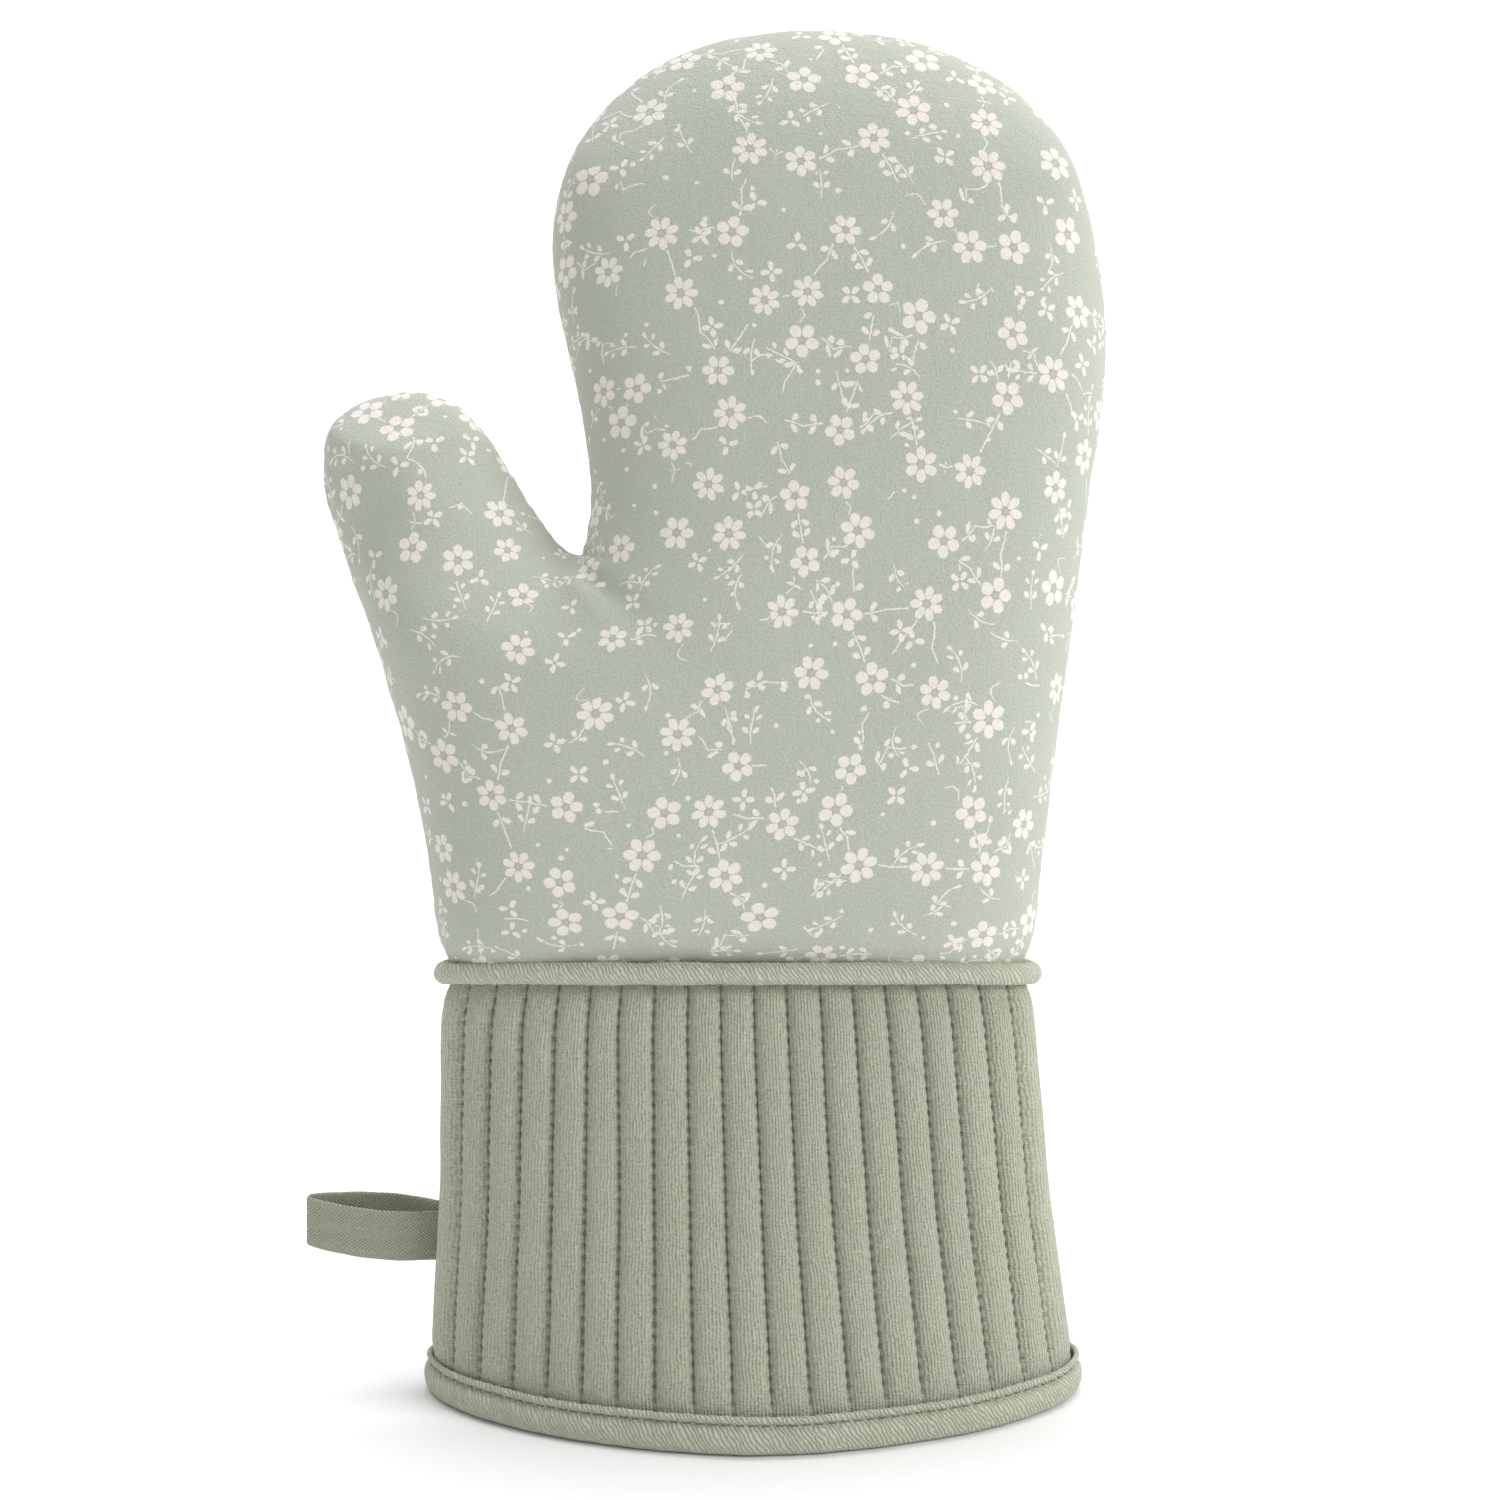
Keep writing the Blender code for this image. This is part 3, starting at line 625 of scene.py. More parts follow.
class Graph:
    """A material whose pattern is worked out from cloth coordinates in millimetres."""

    def __init__(self, name):
        self.material = bpy.data.materials.new(name)
        self.material.use_nodes = True
        self.tree = self.material.node_tree
        self.tree.nodes.clear()
        self.count = 0
        cloth = self.node("ShaderNodeUVMap", uv_map="cloth")
        self.u, self.v = self.split(Value(self, cloth.outputs[0]))

    def node(self, kind, **settings):
        made = self.tree.nodes.new(kind)
        made.location = (180 * (self.count % 40), -160 * (self.count // 40))
        self.count += 1
        for name, value in settings.items():
            setattr(made, name, value)
        return made

    def put(self, socket, value):
        if isinstance(value, Value):
            self.tree.links.new(value.socket, socket)
        else:
            socket.default_value = value

    def math(self, kind, *values):
        made = self.node("ShaderNodeMath", operation=kind)
        for socket, value in zip(made.inputs, values):
            self.put(socket, value)
        return Value(self, made.outputs[0])

    def split(self, vector):
        made = self.node("ShaderNodeSeparateXYZ")
        self.put(made.inputs[0], vector)
        return Value(self, made.outputs[0]), Value(self, made.outputs[1])

    def join(self, x, y, z=0.0):
        made = self.node("ShaderNodeCombineXYZ")
        for socket, value in zip(made.inputs, (x, y, z)):
            self.put(socket, value)
        return Value(self, made.outputs[0])

    def either(self, *values):
        total = values[0]
        for value in values[1:]:
            total = self.math("MAXIMUM", total, value)
        return total

    def fract(self, value):
        return self.math("FRACT", value)

    def sine(self, value):
        return self.math("SINE", value)

    def soft(self, value, low, high, down=False):
        """From 0 to 1 as the value goes from low to high, or from 1 to 0."""
        made = self.node("ShaderNodeMapRange", interpolation_type="SMOOTHSTEP")
        self.put(made.inputs["Value"], value)
        made.inputs["From Min"].default_value, made.inputs["From Max"].default_value = low, high
        made.inputs["To Min"].default_value, made.inputs["To Max"].default_value = (1, 0) if down else (0, 1)
        return Value(self, made.outputs["Result"])

    def noise(self, x, y, size, detail=2.0, seed=0.0):
        """Smooth noise from 0 to 1, features about `size` millimetres across."""
        made = self.node("ShaderNodeTexNoise", noise_dimensions="3D")
        self.put(made.inputs["Vector"], self.join(x / size, y / size, seed))
        made.inputs["Scale"].default_value = 1.0
        made.inputs["Detail"].default_value = detail
        return Value(self, made.outputs[0])

    def cells(self, x, y, size, scatter, feature="F1", seed=0.0):
        """The nearest or second nearest of scattered spots: its distance, place and four random numbers."""
        made = self.node("ShaderNodeTexVoronoi", voronoi_dimensions="2D", feature=feature)
        self.put(made.inputs["Vector"], self.join(x / size + seed, y / size + seed * 1.7))
        made.inputs["Scale"].default_value = 1.0
        made.inputs["Randomness"].default_value = scatter
        px, py = self.split(Value(self, made.outputs["Position"]))
        colour = self.node("ShaderNodeSeparateColor")
        self.tree.links.new(made.outputs["Color"], colour.inputs[0])
        rand = [Value(self, socket) for socket in colour.outputs]
        rand.append(self.fract(rand[0] * 7.31 + rand[1] * 3.17))
        return (
            Value(self, made.outputs["Distance"]) * size,
            (px - seed) * size,
            (py - seed * 1.7) * size,
            rand,
        )

    def colours(self, share, first, second):
        made = self.node("ShaderNodeMix", data_type="RGBA")
        self.put(made.inputs[0], share)
        for socket, colour in ((made.inputs[6], first), (made.inputs[7], second)):
            if isinstance(colour, Value):
                self.tree.links.new(colour.socket, socket)
            else:
                socket.default_value = (*colour, 1.0)
        return Value(self, made.outputs[2])

    def brighten(self, colour, factor):
        made = self.node("ShaderNodeVectorMath", operation="SCALE")
        self.put(made.inputs[0], colour)
        self.put(made.inputs["Scale"], factor)
        return Value(self, made.outputs[0])

    def finish(self, colour, height, roughness=0.9, sheen=0.25, sheen_tint=(0.9, 0.9, 0.86)):
        """Ends the material; height is in millimetres."""
        surface = self.node("ShaderNodeBsdfPrincipled")
        self.tree.links.new(colour.socket, surface.inputs["Base Color"])
        self.put(surface.inputs["Roughness"], roughness)
        surface.inputs["Specular IOR Level"].default_value = 0.18
        surface.inputs["Sheen Weight"].default_value = sheen
        surface.inputs["Sheen Roughness"].default_value = 0.55
        surface.inputs["Sheen Tint"].default_value = (*sheen_tint, 1.0)
        bump = self.node("ShaderNodeBump")
        bump.inputs["Strength"].default_value = 1.0
        bump.inputs["Distance"].default_value = MM
        self.put(bump.inputs["Height"], height)
        self.tree.links.new(bump.outputs[0], surface.inputs["Normal"])
        output = self.node("ShaderNodeOutputMaterial")
        self.tree.links.new(surface.outputs[0], output.inputs["Surface"])
        return self.material


SAGE = (0.455, 0.487, 0.418)
CREAM = (0.86, 0.795, 0.765)


def teardrop(g, along, across, middle, half_length, half_width, taper=0.3):
    """1 inside a leaf or petal that is wider at its outer end."""
    a = (along - middle) / half_length
    b = across / ((a * taper + 1.0) * half_width)
    return g.soft(a * a + b * b, 0.86, 1.10, down=True)


def flower_layer(g, x, y, seed):
    """Flowers on scattered spots, and the curved stems and leaves that link neighbours."""
    size, scatter = 16.0, 0.80
    _, px, py, rand = g.cells(x, y, size, scatter, seed=seed)
    near, _, _, near_rand = g.cells(px, py, size, scatter, "F2", seed=seed)
    shown = g.either(near > 9.6, rand[3] > near_rand[3])
    dx, dy = x - px, y - py
    grow = 1.12 - rand[1] * 0.20
    r = g.math("SQRT", dx * dx + dy * dy) * grow
    count = g.math("FLOOR", rand[2] * 2.6) + 5.0
    turn = g.fract((g.math("ARCTAN2", dy, dx) / (2 * math.pi)) * count + rand[0] * 5.0 + 8.0) - 0.5
    across = turn * r * (2 * math.pi) / count
    petal = teardrop(g, r, across, 2.62, 1.58, (8.16 * 0.87) / count, 0.26)
    petals = petal * shown
    centre = g.soft(r, 0.82, 1.0, down=True) * shown
    rim = g.soft(r, 0.5, 0.8) * centre
    # Stems to the second nearest spot.
    _, qx, qy, q_rand = g.cells(x, y, size, scatter, "F2", seed=seed)
    lx, ly = qx - px, qy - py
    length = g.math("SQRT", lx * lx + ly * ly)
    ux, uy = lx / length, ly / length
    along = dx * ux + dy * uy
    off = dy * ux - dx * uy
    t = along / length
    bend = (rand[1] - q_rand[1]) * 7.0
    off = off - bend * g.sine(t * (2 * math.pi)) * 0.5
    linked = g.fract((rand[0] + q_rand[0]) * 3.7) > 0.42
    linked = linked * (length < 23.0) * (along > 0.0)
    stem = g.soft(g.math("ABSOLUTE", off), 0.12, 0.26, down=True) * linked
    side = g.math("SIGN", off)
    leaf_along = (along - 5.6) * 0.64 + off * side * 0.77
    leaf_across = off * side * 0.64 - (along - 5.6) * 0.77
    leaf = teardrop(g, leaf_along, leaf_across, 1.75, 1.15, 0.66, 0.25) * linked * (rand[2] < 0.62)
    return petals, centre, rim, g.either(stem, leaf), shown, (size, scatter, seed)


def sprig_layer(g, x, y, seed, size, flowers):
    """Small loose sprigs away from the flowers: a stem with leaf pairs, or a star of little leaves."""
    _, px, py, rand = g.cells(x, y, size, 0.85, seed=seed)
    away, _, _, _ = g.cells(px, py, flowers[0], flowers[1], seed=flowers[2])
    clear = (away > 6.2) * (rand[3] > 0.16)
    dx, dy = x - px, y - py
    angle = rand[0] * (2 * math.pi)
    c, s = g.math("COSINE", angle), g.sine(angle)
    a, b = dx * c + dy * s, dy * c - dx * s
    b = b - a * a * (rand[1] * 0.20 - 0.10)
    star = rand[2] < 0.36
    width = g.math("ABSOLUTE", a) * -0.022 + 0.20
    stem = g.soft(g.math("ABSOLUTE", b) - width, -0.06, 0.06, down=True)
    stem = stem * g.soft(g.math("ABSOLUTE", a), 3.9, 4.1, down=True)
    side = g.math("ABSOLUTE", b)
    parts = [stem]
    for start, lean, half in ((-1.9, 0.70, 1.0), (1.5, 0.78, 0.8)):
        up = math.sqrt(1 - lean * lean)
        along, across = (a - start) * up + side * lean, side * up - (a - start) * lean
        parts.append(teardrop(g, along, across, 1.75, half, half * 0.58, 0.25))
    pair = g.either(parts[1], parts[2] * (rand[3] > 0.45))
    sprig = g.either(stem, pair, teardrop(g, a, b, 4.6, 0.85, 0.50, 0.1)) * (1.0 - star)
    r = g.math("SQRT", dx * dx + dy * dy)
    leaves = g.math("FLOOR", rand[1] * 2.0) + 3.0
    turn = g.fract((g.math("ARCTAN2", dy, dx) / (2 * math.pi)) * leaves + rand[0] * 6.0 + 8.0) - 0.5
    small = teardrop(g, r, turn * r * (2 * math.pi) / leaves, 1.55, 1.15, 0.66, 0.25) * star
    return g.either(sprig, small) * clear


def dot_layer(g, x, y, seed, flowers):
    d, px, py, rand = g.cells(x, y, 6.5, 0.9, seed=seed)
    away, _, _, _ = g.cells(px, py, flowers[0], flowers[1], seed=flowers[2])
    return g.soft(d - rand[1] * 0.25, 0.38, 0.55, down=True) * (away > 5.2) * (rand[0] > 0.76)


def crepe(g, x, y):
    """Height in millimetres of a fine pebbly weave."""
    return g.noise(x, y, 0.6, 2.0, seed=5.0) * 0.26 + g.noise(x, y, 2.4, 1.0, seed=9.0) * 0.22


def printed_cotton(name, seed):
    g = Graph(name)
    wobble_x = (g.noise(g.u, g.v, 0.9, 1.0, seed=11.0) - 0.5) * 0.62
    wobble_y = (g.noise(g.u, g.v, 0.9, 1.0, seed=17.0) - 0.5) * 0.62
    x, y = g.u + wobble_x, g.v + wobble_y
    petals, centre, rim, stems, shown, flowers = flower_layer(g, x, y, seed)
    stems = g.either(
        stems,
        sprig_layer(g, x, y, seed + 7.0, 9.8, flowers),
        dot_layer(g, x, y, seed + 13.0, flowers),
    )
    _, fx, fy, _ = g.cells(x, y, flowers[0], flowers[1], seed=seed)
    around = g.math("SQRT", (x - fx) * (x - fx) + (y - fy) * (y - fy))
    stems = stems * (1.0 - g.soft(around, 4.3, 4.6, down=True) * shown)
    cream = g.either(petals, stems)
    ground = g.colours(g.noise(g.u, g.v, 26.0, 2.0), SAGE, (0.475, 0.500, 0.432))
    speck = g.noise(g.u, g.v, 0.55, 3.0, seed=21.0) * 0.62 + 0.69
    ground = g.brighten(ground, speck)
    ink = g.colours(g.noise(g.u, g.v, 3.0, 2.0, seed=2.0), CREAM, (0.80, 0.745, 0.705))
    ink = g.brighten(ink, speck * 0.45 + 0.55)
    colour = g.colours(cream * 0.94, ground, ink)
    colour = g.colours(centre, colour, g.colours(rim, (0.50, 0.515, 0.445), (0.405, 0.43, 0.36)))
    return g.finish(colour, crepe(g, g.u, g.v), 0.92, 0.22)


def quilted_terry(name):
    """Fine upright cords with small loops caught across them; painted shade in the quilting valleys."""
    g = Graph(name)
    sway = (g.noise(g.u, g.v, 7.0, 2.0) - 0.5) * 1.6
    cords = g.sine((g.u + sway) * (2 * math.pi / 0.92)) * 0.5 + 0.5
    nubs = g.noise(g.u * 1.0, g.v * 1.5, 0.85, 3.0, seed=3.0)
    loops = g.sine(g.v * (2 * math.pi / 0.75) + g.noise(g.u, g.v, 0.9, 2.0, seed=8.0) * 12.0) * 0.5 + 0.5
    streak = g.soft(g.noise(g.u * 3.2, g.v * 0.42, 1.7, 3.0, seed=5.0), 0.50, 0.72)
    broad = g.noise(g.u, g.v, 22.0, 2.0, seed=6.0)
    base = g.colours(broad, (0.315, 0.335, 0.250), (0.365, 0.380, 0.292))
    base = g.brighten(base, cords * 0.24 + nubs * 1.35 + 0.44)
    base = g.colours(streak * 0.45, base, (0.60, 0.605, 0.515))
    # Painted shade: the cloth is darkened a little along each quilting valley and more round each stitch
    # hole, where the cloth dips in.
    off = g.math("ABSOLUTE", g.fract(g.u / RIB_CLOTH_WIDTH + 0.5) - 0.5) * RIB_CLOTH_WIDTH
    hole = g.math("ABSOLUTE", g.fract(g.v / STITCH_PITCH + 0.5) - 0.5) * STITCH_PITCH
    painted_dent_shade = g.soft(g.math("SQRT", off * off + hole * hole), 0.35, 0.95, down=True)
    base = g.brighten(base, 1.0 - g.either(g.soft(off, 0.15, 0.65, down=True) * 0.10, painted_dent_shade * 0.36))
    height = cords * 0.24 + nubs * 0.50 + loops * 0.10 + streak * 0.06
    return g.finish(base, height, 0.95, 0.35)


def bias_twill(name, tone=1.0):
    """A twill cut on the bias: fine wavy ridges that slant down to the right."""
    g = Graph(name)
    wave = (g.noise(g.u, g.v, 4.0, 2.0) - 0.5) * 2.2 + (g.noise(g.u, g.v, 1.0, 2.0, seed=2.0) - 0.5) * 0.5
    ridge = g.sine((g.u * 0.84 + g.v * 0.54 + wave) * (2 * math.pi / 0.92)) * 0.5 + 0.5
    fibre = g.noise(g.u, g.v, 0.4, 3.0, seed=4.0)
    slub = g.noise(g.u + g.v * 0.6, g.v - g.u * 0.6, 1.6, 3.0, seed=7.0)
    base = g.colours(g.noise(g.u, g.v, 14.0, 2.0, seed=1.0), (0.350, 0.368, 0.282), (0.400, 0.412, 0.325))
    base = g.brighten(base, (ridge * 0.50 + fibre * 0.44 + slub * 0.40 + 0.59) * tone)
    return g.finish(base, ridge * 0.30 + fibre * 0.16 + slub * 0.20, 0.93, 0.3)


def herringbone_tape(name):
    g = Graph(name)
    stripe = g.math("ABSOLUTE", g.fract(g.v / 5.6 + 0.25) - 0.5) * 5.6
    ridge = g.sine((g.u + stripe * 1.25) * (2 * math.pi / 1.05)) * 0.5 + 0.5
    fibre = g.noise(g.u, g.v, 0.5, 3.0)
    base = g.colours(fibre, (0.285, 0.305, 0.220), (0.360, 0.375, 0.290))
    base = g.brighten(base, ridge * 0.46 + 0.88)
    return g.finish(base, ridge * 0.26 + fibre * 0.14, 0.93, 0.3)


def plain_weave(name, first, second, pitch=0.55, sheen=0.2):
    g = Graph(name)
    weave = g.sine(g.u * (2 * math.pi / pitch)) * g.sine(g.v * (2 * math.pi / pitch))
    fibre = g.noise(g.u, g.v, 0.6, 3.0)
    base = g.brighten(g.colours(g.noise(g.u, g.v, 9.0, 3.0, seed=2.0), first, second), fibre * 0.3 + 0.85)
    return g.finish(base, weave * 0.03 + fibre * 0.12, 0.94, sheen)


def fibre_fill(name, first, second):
    g = Graph(name)
    tuft = g.noise(g.u, g.v, 1.6, 5.0)
    base = g.brighten(g.colours(g.noise(g.u, g.v, 7.0, 3.0, seed=4.0), first, second), tuft * 0.3 + 0.85)
    return g.finish(base, tuft * 0.5, 1.0, 0.5)


def sewing_thread(name, first, second):
    g = Graph(name)
    place = g.node("ShaderNodeTexCoord")
    spot = g.node("ShaderNodeSeparateXYZ")
    g.tree.links.new(place.outputs["Object"], spot.inputs[0])
    x, y, z = (Value(g, out) * 1000.0 for out in spot.outputs)
    ply = g.sine((z + x * 0.9 + y * 0.9) * (2 * math.pi / 0.45)) * 0.5 + 0.5
    fuzz = g.noise(x + y, z, 0.5, 3.0)
    base = g.brighten(g.colours(fuzz, first, second), ply * 0.25 + 0.85)
    return g.finish(base, ply * 0.05, 0.75, 0.3)


PRINT_FRONT = printed_cotton("printed_cotton_front", 3.0)
PRINT_BACK = printed_cotton("printed_cotton_back", 47.0)
TERRY = quilted_terry("quilted_terry")
BIAS = bias_twill("bias_cotton")
BIAS_PIPING = bias_twill("bias_cotton_piping", 1.04)
TWILL = herringbone_tape("twill_tape")
LINING_CLOTH = plain_weave("lining_cotton", (0.50, 0.53, 0.45), (0.56, 0.58, 0.50))
FILL = fibre_fill("wadding", (0.84, 0.83, 0.79), (0.78, 0.77, 0.72))
FILLER = fibre_fill("filler_cord", (0.80, 0.79, 0.74), (0.72, 0.71, 0.66))
THREAD = sewing_thread("thread", (0.17, 0.185, 0.125), (0.22, 0.235, 0.17))

# ---- the hand's pieces ---------------------------------------------------------------------------


def above_piping(points):
    """The hand's lower edge follows the piping and stops just above its flange."""
    share = np.clip((125.3 - points[:, 2]) / 20.0, 0, 1)
    lift = 1.15 + wrist_height(points[:, 0]) - WRIST
    points = points.copy()
    points[:, 2] += share * lift
    return points


def hand_pieces():
    points, faces = hand_surface(3)
    normals = normals_of(points, faces)
    path, lengths = outline_of(hand_surface(4)[0])
    made = {}
    for side, name, material in ((-1, "front", PRINT_FRONT), (1, "back", PRINT_BACK)):
        mine, out, own_faces = half_of(points, normals, faces, side)
        pinned = bell(mine[:, 0] - 20, 80.0) * bell(mine[:, 2] - 220, 90.0) + 0.02
        cloth = flat_cloth(mine, own_faces, pinned)
        if side > 0:
            cloth[:, 0] = -cloth[:, 0]
        levels = 2
        cloth = refine(cloth, own_faces, levels)[0][:, :2]
        out = refine(out, own_faces, levels)[0]
        mine, own_faces = refine(mine, own_faces, levels)
        out /= np.linalg.norm(out, axis=1, keepdims=True)
        depth = hand_relief(mine, side, path, lengths)
        placed = above_piping(mine)
        placed[:, 1] = side * np.maximum(np.abs(placed[:, 1]), 0.12)
        body, body_faces = shell(placed, out, own_faces, depth, depth + PRINT_CLOTH)
        made[name] = add_mesh(f"hand_{name}_panel", body, body_faces, material,
                              [f"hand_{name}_panel"], np.vstack([cloth, cloth]))
    for side, name in ((-1, "front"), (1, "back")):
        mine, out, own_faces = half_of(points, normals, faces, side)
        placed = above_piping(mine)
        seam = np.abs(placed[:, 1]) < 0.5
        placed[:, 1] = side * np.maximum(np.abs(placed[:, 1]), 0.5)
        base = np.clip(hand_relief(mine, side, path, lengths), 0, 1.6) * np.where(seam, 0.9, 1.0)
        base = base + PRINT_CLOTH + 0.25
        loft = HAND_WADDING + 0.5 * soft_noise(mine, 9.0, 12.0 + side)
        cloth = mine[:, [0, 2]]
        for kind, near, far, material in (
            ("wadding", base, base + loft - 0.2, FILL),
            ("lining", base + loft, base + loft + LINING, LINING_CLOTH),
        ):
            body, body_faces = shell(placed, out, own_faces, near, far)
            made[name, kind] = add_mesh(f"hand_{name}_{kind}", body, body_faces, material,
                                        [f"hand_{name}_{kind}"], np.vstack([cloth, cloth]))
    step = np.gradient(path, axis=0)
    step /= np.linalg.norm(step, axis=1, keepdims=True)
    inset = 1.35
    inside = path + np.column_stack([step[:, 1], -step[:, 0]]) * inset
    line = np.column_stack([inside[:, 0], np.zeros(len(path)), inside[:, 1]])
    line = line[line[:, 2] > WRIST + 4.0]
    body, body_faces = tube(line[::2], 0.22, 6)
    made["thread"] = add_mesh("hand_outline_seam_thread", body, body_faces, THREAD,
                              ["hand_outline_seam_thread"])
    return made


# ---- the cuff's pieces ---------------------------------------------------------------------------


def follow_wrist(points):
    share = np.clip((points[:, 2] - 80.0) / 22.0, 0, 1)
    points = points.copy()
    points[:, 2] += share * (wrist_height(points[:, 0]) - WRIST)
    return points


def round_loop_ends(points, along, side):
    """Opens the left side seam where the tape's ends are caught in it."""
    open_here = 1.15 * bell(points[:, 2] - LOOP_HEIGHT, 8.2) ** 0.6 * np.exp(-along / 2.5)
    open_here = np.where(np.abs(points[:, 2] - LOOP_HEIGHT) < LOOP_WIDTH, open_here, open_here * 0.7)
    points = points.copy()
    points[:, 1] += side * open_here
    return points


def cuff_pieces():
    made = {}
    step = 0.6875
    for side, name in ((-1, "front"), (1, "back")):
        points, normals, cloth, rows, along = cuff_panel_points(side, 103.9, 2.9, step, RIB_HEIGHT, 0.12)
        points = follow_wrist(round_loop_ends(points, along, side))
        faces = grid_faces(rows, CUFF_COLUMNS, flip=side < 0)
        shown = cloth * [side * -1.0, 1.0]
        body, body_faces = shell(points, normals, faces, -tuck(points[:, 2]), RIB_CLOTH - tuck(points[:, 2]))
        made[name] = add_mesh(f"cuff_{name}_panel", body, body_faces, TERRY,
                              [f"cuff_{name}_panel"], np.vstack([shown, shown]))
        for kind, near, far, rib, material, slot in (
            ("wadding", 1.9, 3.9, 0.5, FILL, "wadding"),
            ("lining", 4.2, 4.9, -1.0, LINING_CLOTH, "lining_cotton"),
        ):
            points, normals, cloth, rows, _ = cuff_panel_points(side, 101.5, 3.4, 3.3, rib, 0.12)
            points = follow_wrist(points)
            faces = grid_faces(rows, CUFF_COLUMNS, flip=side < 0)
            body, body_faces = shell(points, normals, faces, near, far)
            body[:, 1] = side * np.maximum(side * body[:, 1], 0.4 + 0.02 * np.abs(body[:, 0] - 11.35) / 80)
            made[name, kind] = add_mesh(f"cuff_{name}_{kind}", body, body_faces, material,
                                        [f"cuff_{name}_{kind}"], np.vstack([cloth, cloth]))
        centres, ways = [], []
        for edge in range(1, RIBS):
            for k in range(4, 37):
                z = (k + 0.5) * STITCH_PITCH
                sizes = section_sizes(z)
                length = half_section(*sizes, [0.0, 1.0])[5]
                share = rib_shares(sizes)[edge] + valley_wander(edge, z, side) / length
                x, y, nx, ny, _, _ = half_section(*sizes, [share], side, 0.12)
                lean = 0.12 * noise.noise(Vector((edge * 3.3, k * 1.9, side)))
                out = tuck(np.array([z]))[0] - 0.28 + 0.05 * noise.noise(Vector((edge * 5.1, k * 2.7, side)))
                centres.append((x[0] + nx[0] * out, y[0] + ny[0] * out, z))
                ways.append((lean * -ny[0], lean * nx[0], 1.0))
        placed = follow_wrist(np.array(centres))
        body, body_faces = capsules(placed, ways, 1.8, 0.24, 5)
        made[name, "stitches"] = add_mesh(f"cuff_{name}_quilting_thread", body, body_faces, THREAD,
                                          [f"cuff_{name}_quilting_thread"])
    for side, name, low in ((-1, "left", LOOP_HEIGHT + LOOP_WIDTH), (1, "right", 12.0)):
        line = []
        for z in np.arange(low, 101.0, 2.0):
            left, right = section_sizes(z)[:2]
            line.append(((left if side < 0 else right) - side * 0.35, 0.0, z))
        body, body_faces = tube(line, 0.2, 6)
        made[name] = add_mesh(f"cuff_{name}_seam_thread", body, body_faces, THREAD,
                              [f"cuff_{name}_seam_thread"])
    return made


def tuck(z):
    """The cuff's cloth swells out a little to fill the binding."""
    return 0.9 * np.clip((14.0 - z) / 6.0, 0, 1)


def swept(section, profile, wave=None):
    """Points of a closed profile carried round a section, ring by ring, with their cloth coordinates."""
    px, py, nx, ny, at = section
    profile = np.asarray(profile, float)
    around = np.concatenate([[0.0], np.cumsum(np.linalg.norm(np.diff(profile, axis=0), axis=1))])
    points, cloth = [], []
    for k in range(len(px)):
        shape = profile if wave is None else profile + wave(profile, at[k], px[k])
        reach = shape[:, 0]
        points.append(np.column_stack([px[k] + nx[k] * reach, py[k] + ny[k] * reach, shape[:, 1]]))
        cloth.append(np.column_stack([np.full(len(profile), at[k]), -around]))
    return np.vstack(points), np.vstack(cloth)


def ring_faces(columns, sides):
    faces = []
    for k in range(columns):
        n = (k + 1) % columns
        for j in range(sides):
            i = (j + 1) % sides
            faces.append((k * sides + j, k * sides + i, n * sides + i, n * sides + j))
    return faces


def ring_noise(at, size, seed, total):
    """Noise that meets itself after once round."""
    turn = 2 * math.pi * at / total
    reach = total / (2 * math.pi * size)
    return noise.noise(Vector((math.cos(turn) * reach, math.sin(turn) * reach, seed)))


def piping_pieces():
    columns = 760
    section = ring_section(WRIST - 3.1, columns)
    total = section[4][-1] + section[4][1]
    start = math.asin((PIPING_SLIT + 0.3) / PIPING_RADIUS)
    turns = np.linspace(start, 2 * math.pi - start, 30)
    outer = [(PIPING_OUTSET - PIPING_RADIUS * math.cos(a), PIPING_RADIUS * math.sin(a)) for a in turns]
    inside = PIPING_RADIUS - PIPING_CLOTH
    inner = [(PIPING_OUTSET - inside * math.cos(a), inside * math.sin(a)) for a in turns[::-2]]
    flange = -PIPING_FLANGE
    profile = [(flange, 0.72), *outer, (flange, -0.72), (flange, -0.15), *inner, (flange, 0.15)]

    def wave(shape, at, x):
        angle = np.arctan2(shape[:, 1], shape[:, 0] - PIPING_OUTSET)
        on_ring = np.hypot(shape[:, 0] - PIPING_OUTSET, shape[:, 1]) > PIPING_RADIUS - 0.05
        twist = np.sin(2 * math.pi * at / (total / 118) + angle)
        lump = ring_noise(at, 9.0, 1.0, total) * 0.22 + twist * 0.055
        reach = np.where(on_ring & (shape[:, 0] > PIPING_OUTSET - 2.6), lump, 0.0)
        lift = wrist_height(x) + 0.25 * ring_noise(at, 16.0, 6.0, total)
        return np.column_stack([reach * np.cos(angle), reach * np.sin(angle) + lift])

    points, cloth = swept(section, profile, wave)
    add_mesh("wrist_piping_cover", points, ring_faces(columns, len(profile)), BIAS_PIPING,
             ["wrist_piping_cover"], cloth)
    turns = np.linspace(0, 2 * math.pi, 12, endpoint=False)
    core = [(PIPING_OUTSET + 1.85 * math.cos(a), -1.85 * math.sin(a)) for a in turns]
    few = ring_section(WRIST - 3.1, 160)
    points, cloth = swept(few, core, lambda shape, at, x: np.array([[0.0, wrist_height(x)]]))
    add_mesh("wrist_piping_cord", points, ring_faces(160, len(core)), FILLER,
             ["wrist_piping_cord"], cloth)


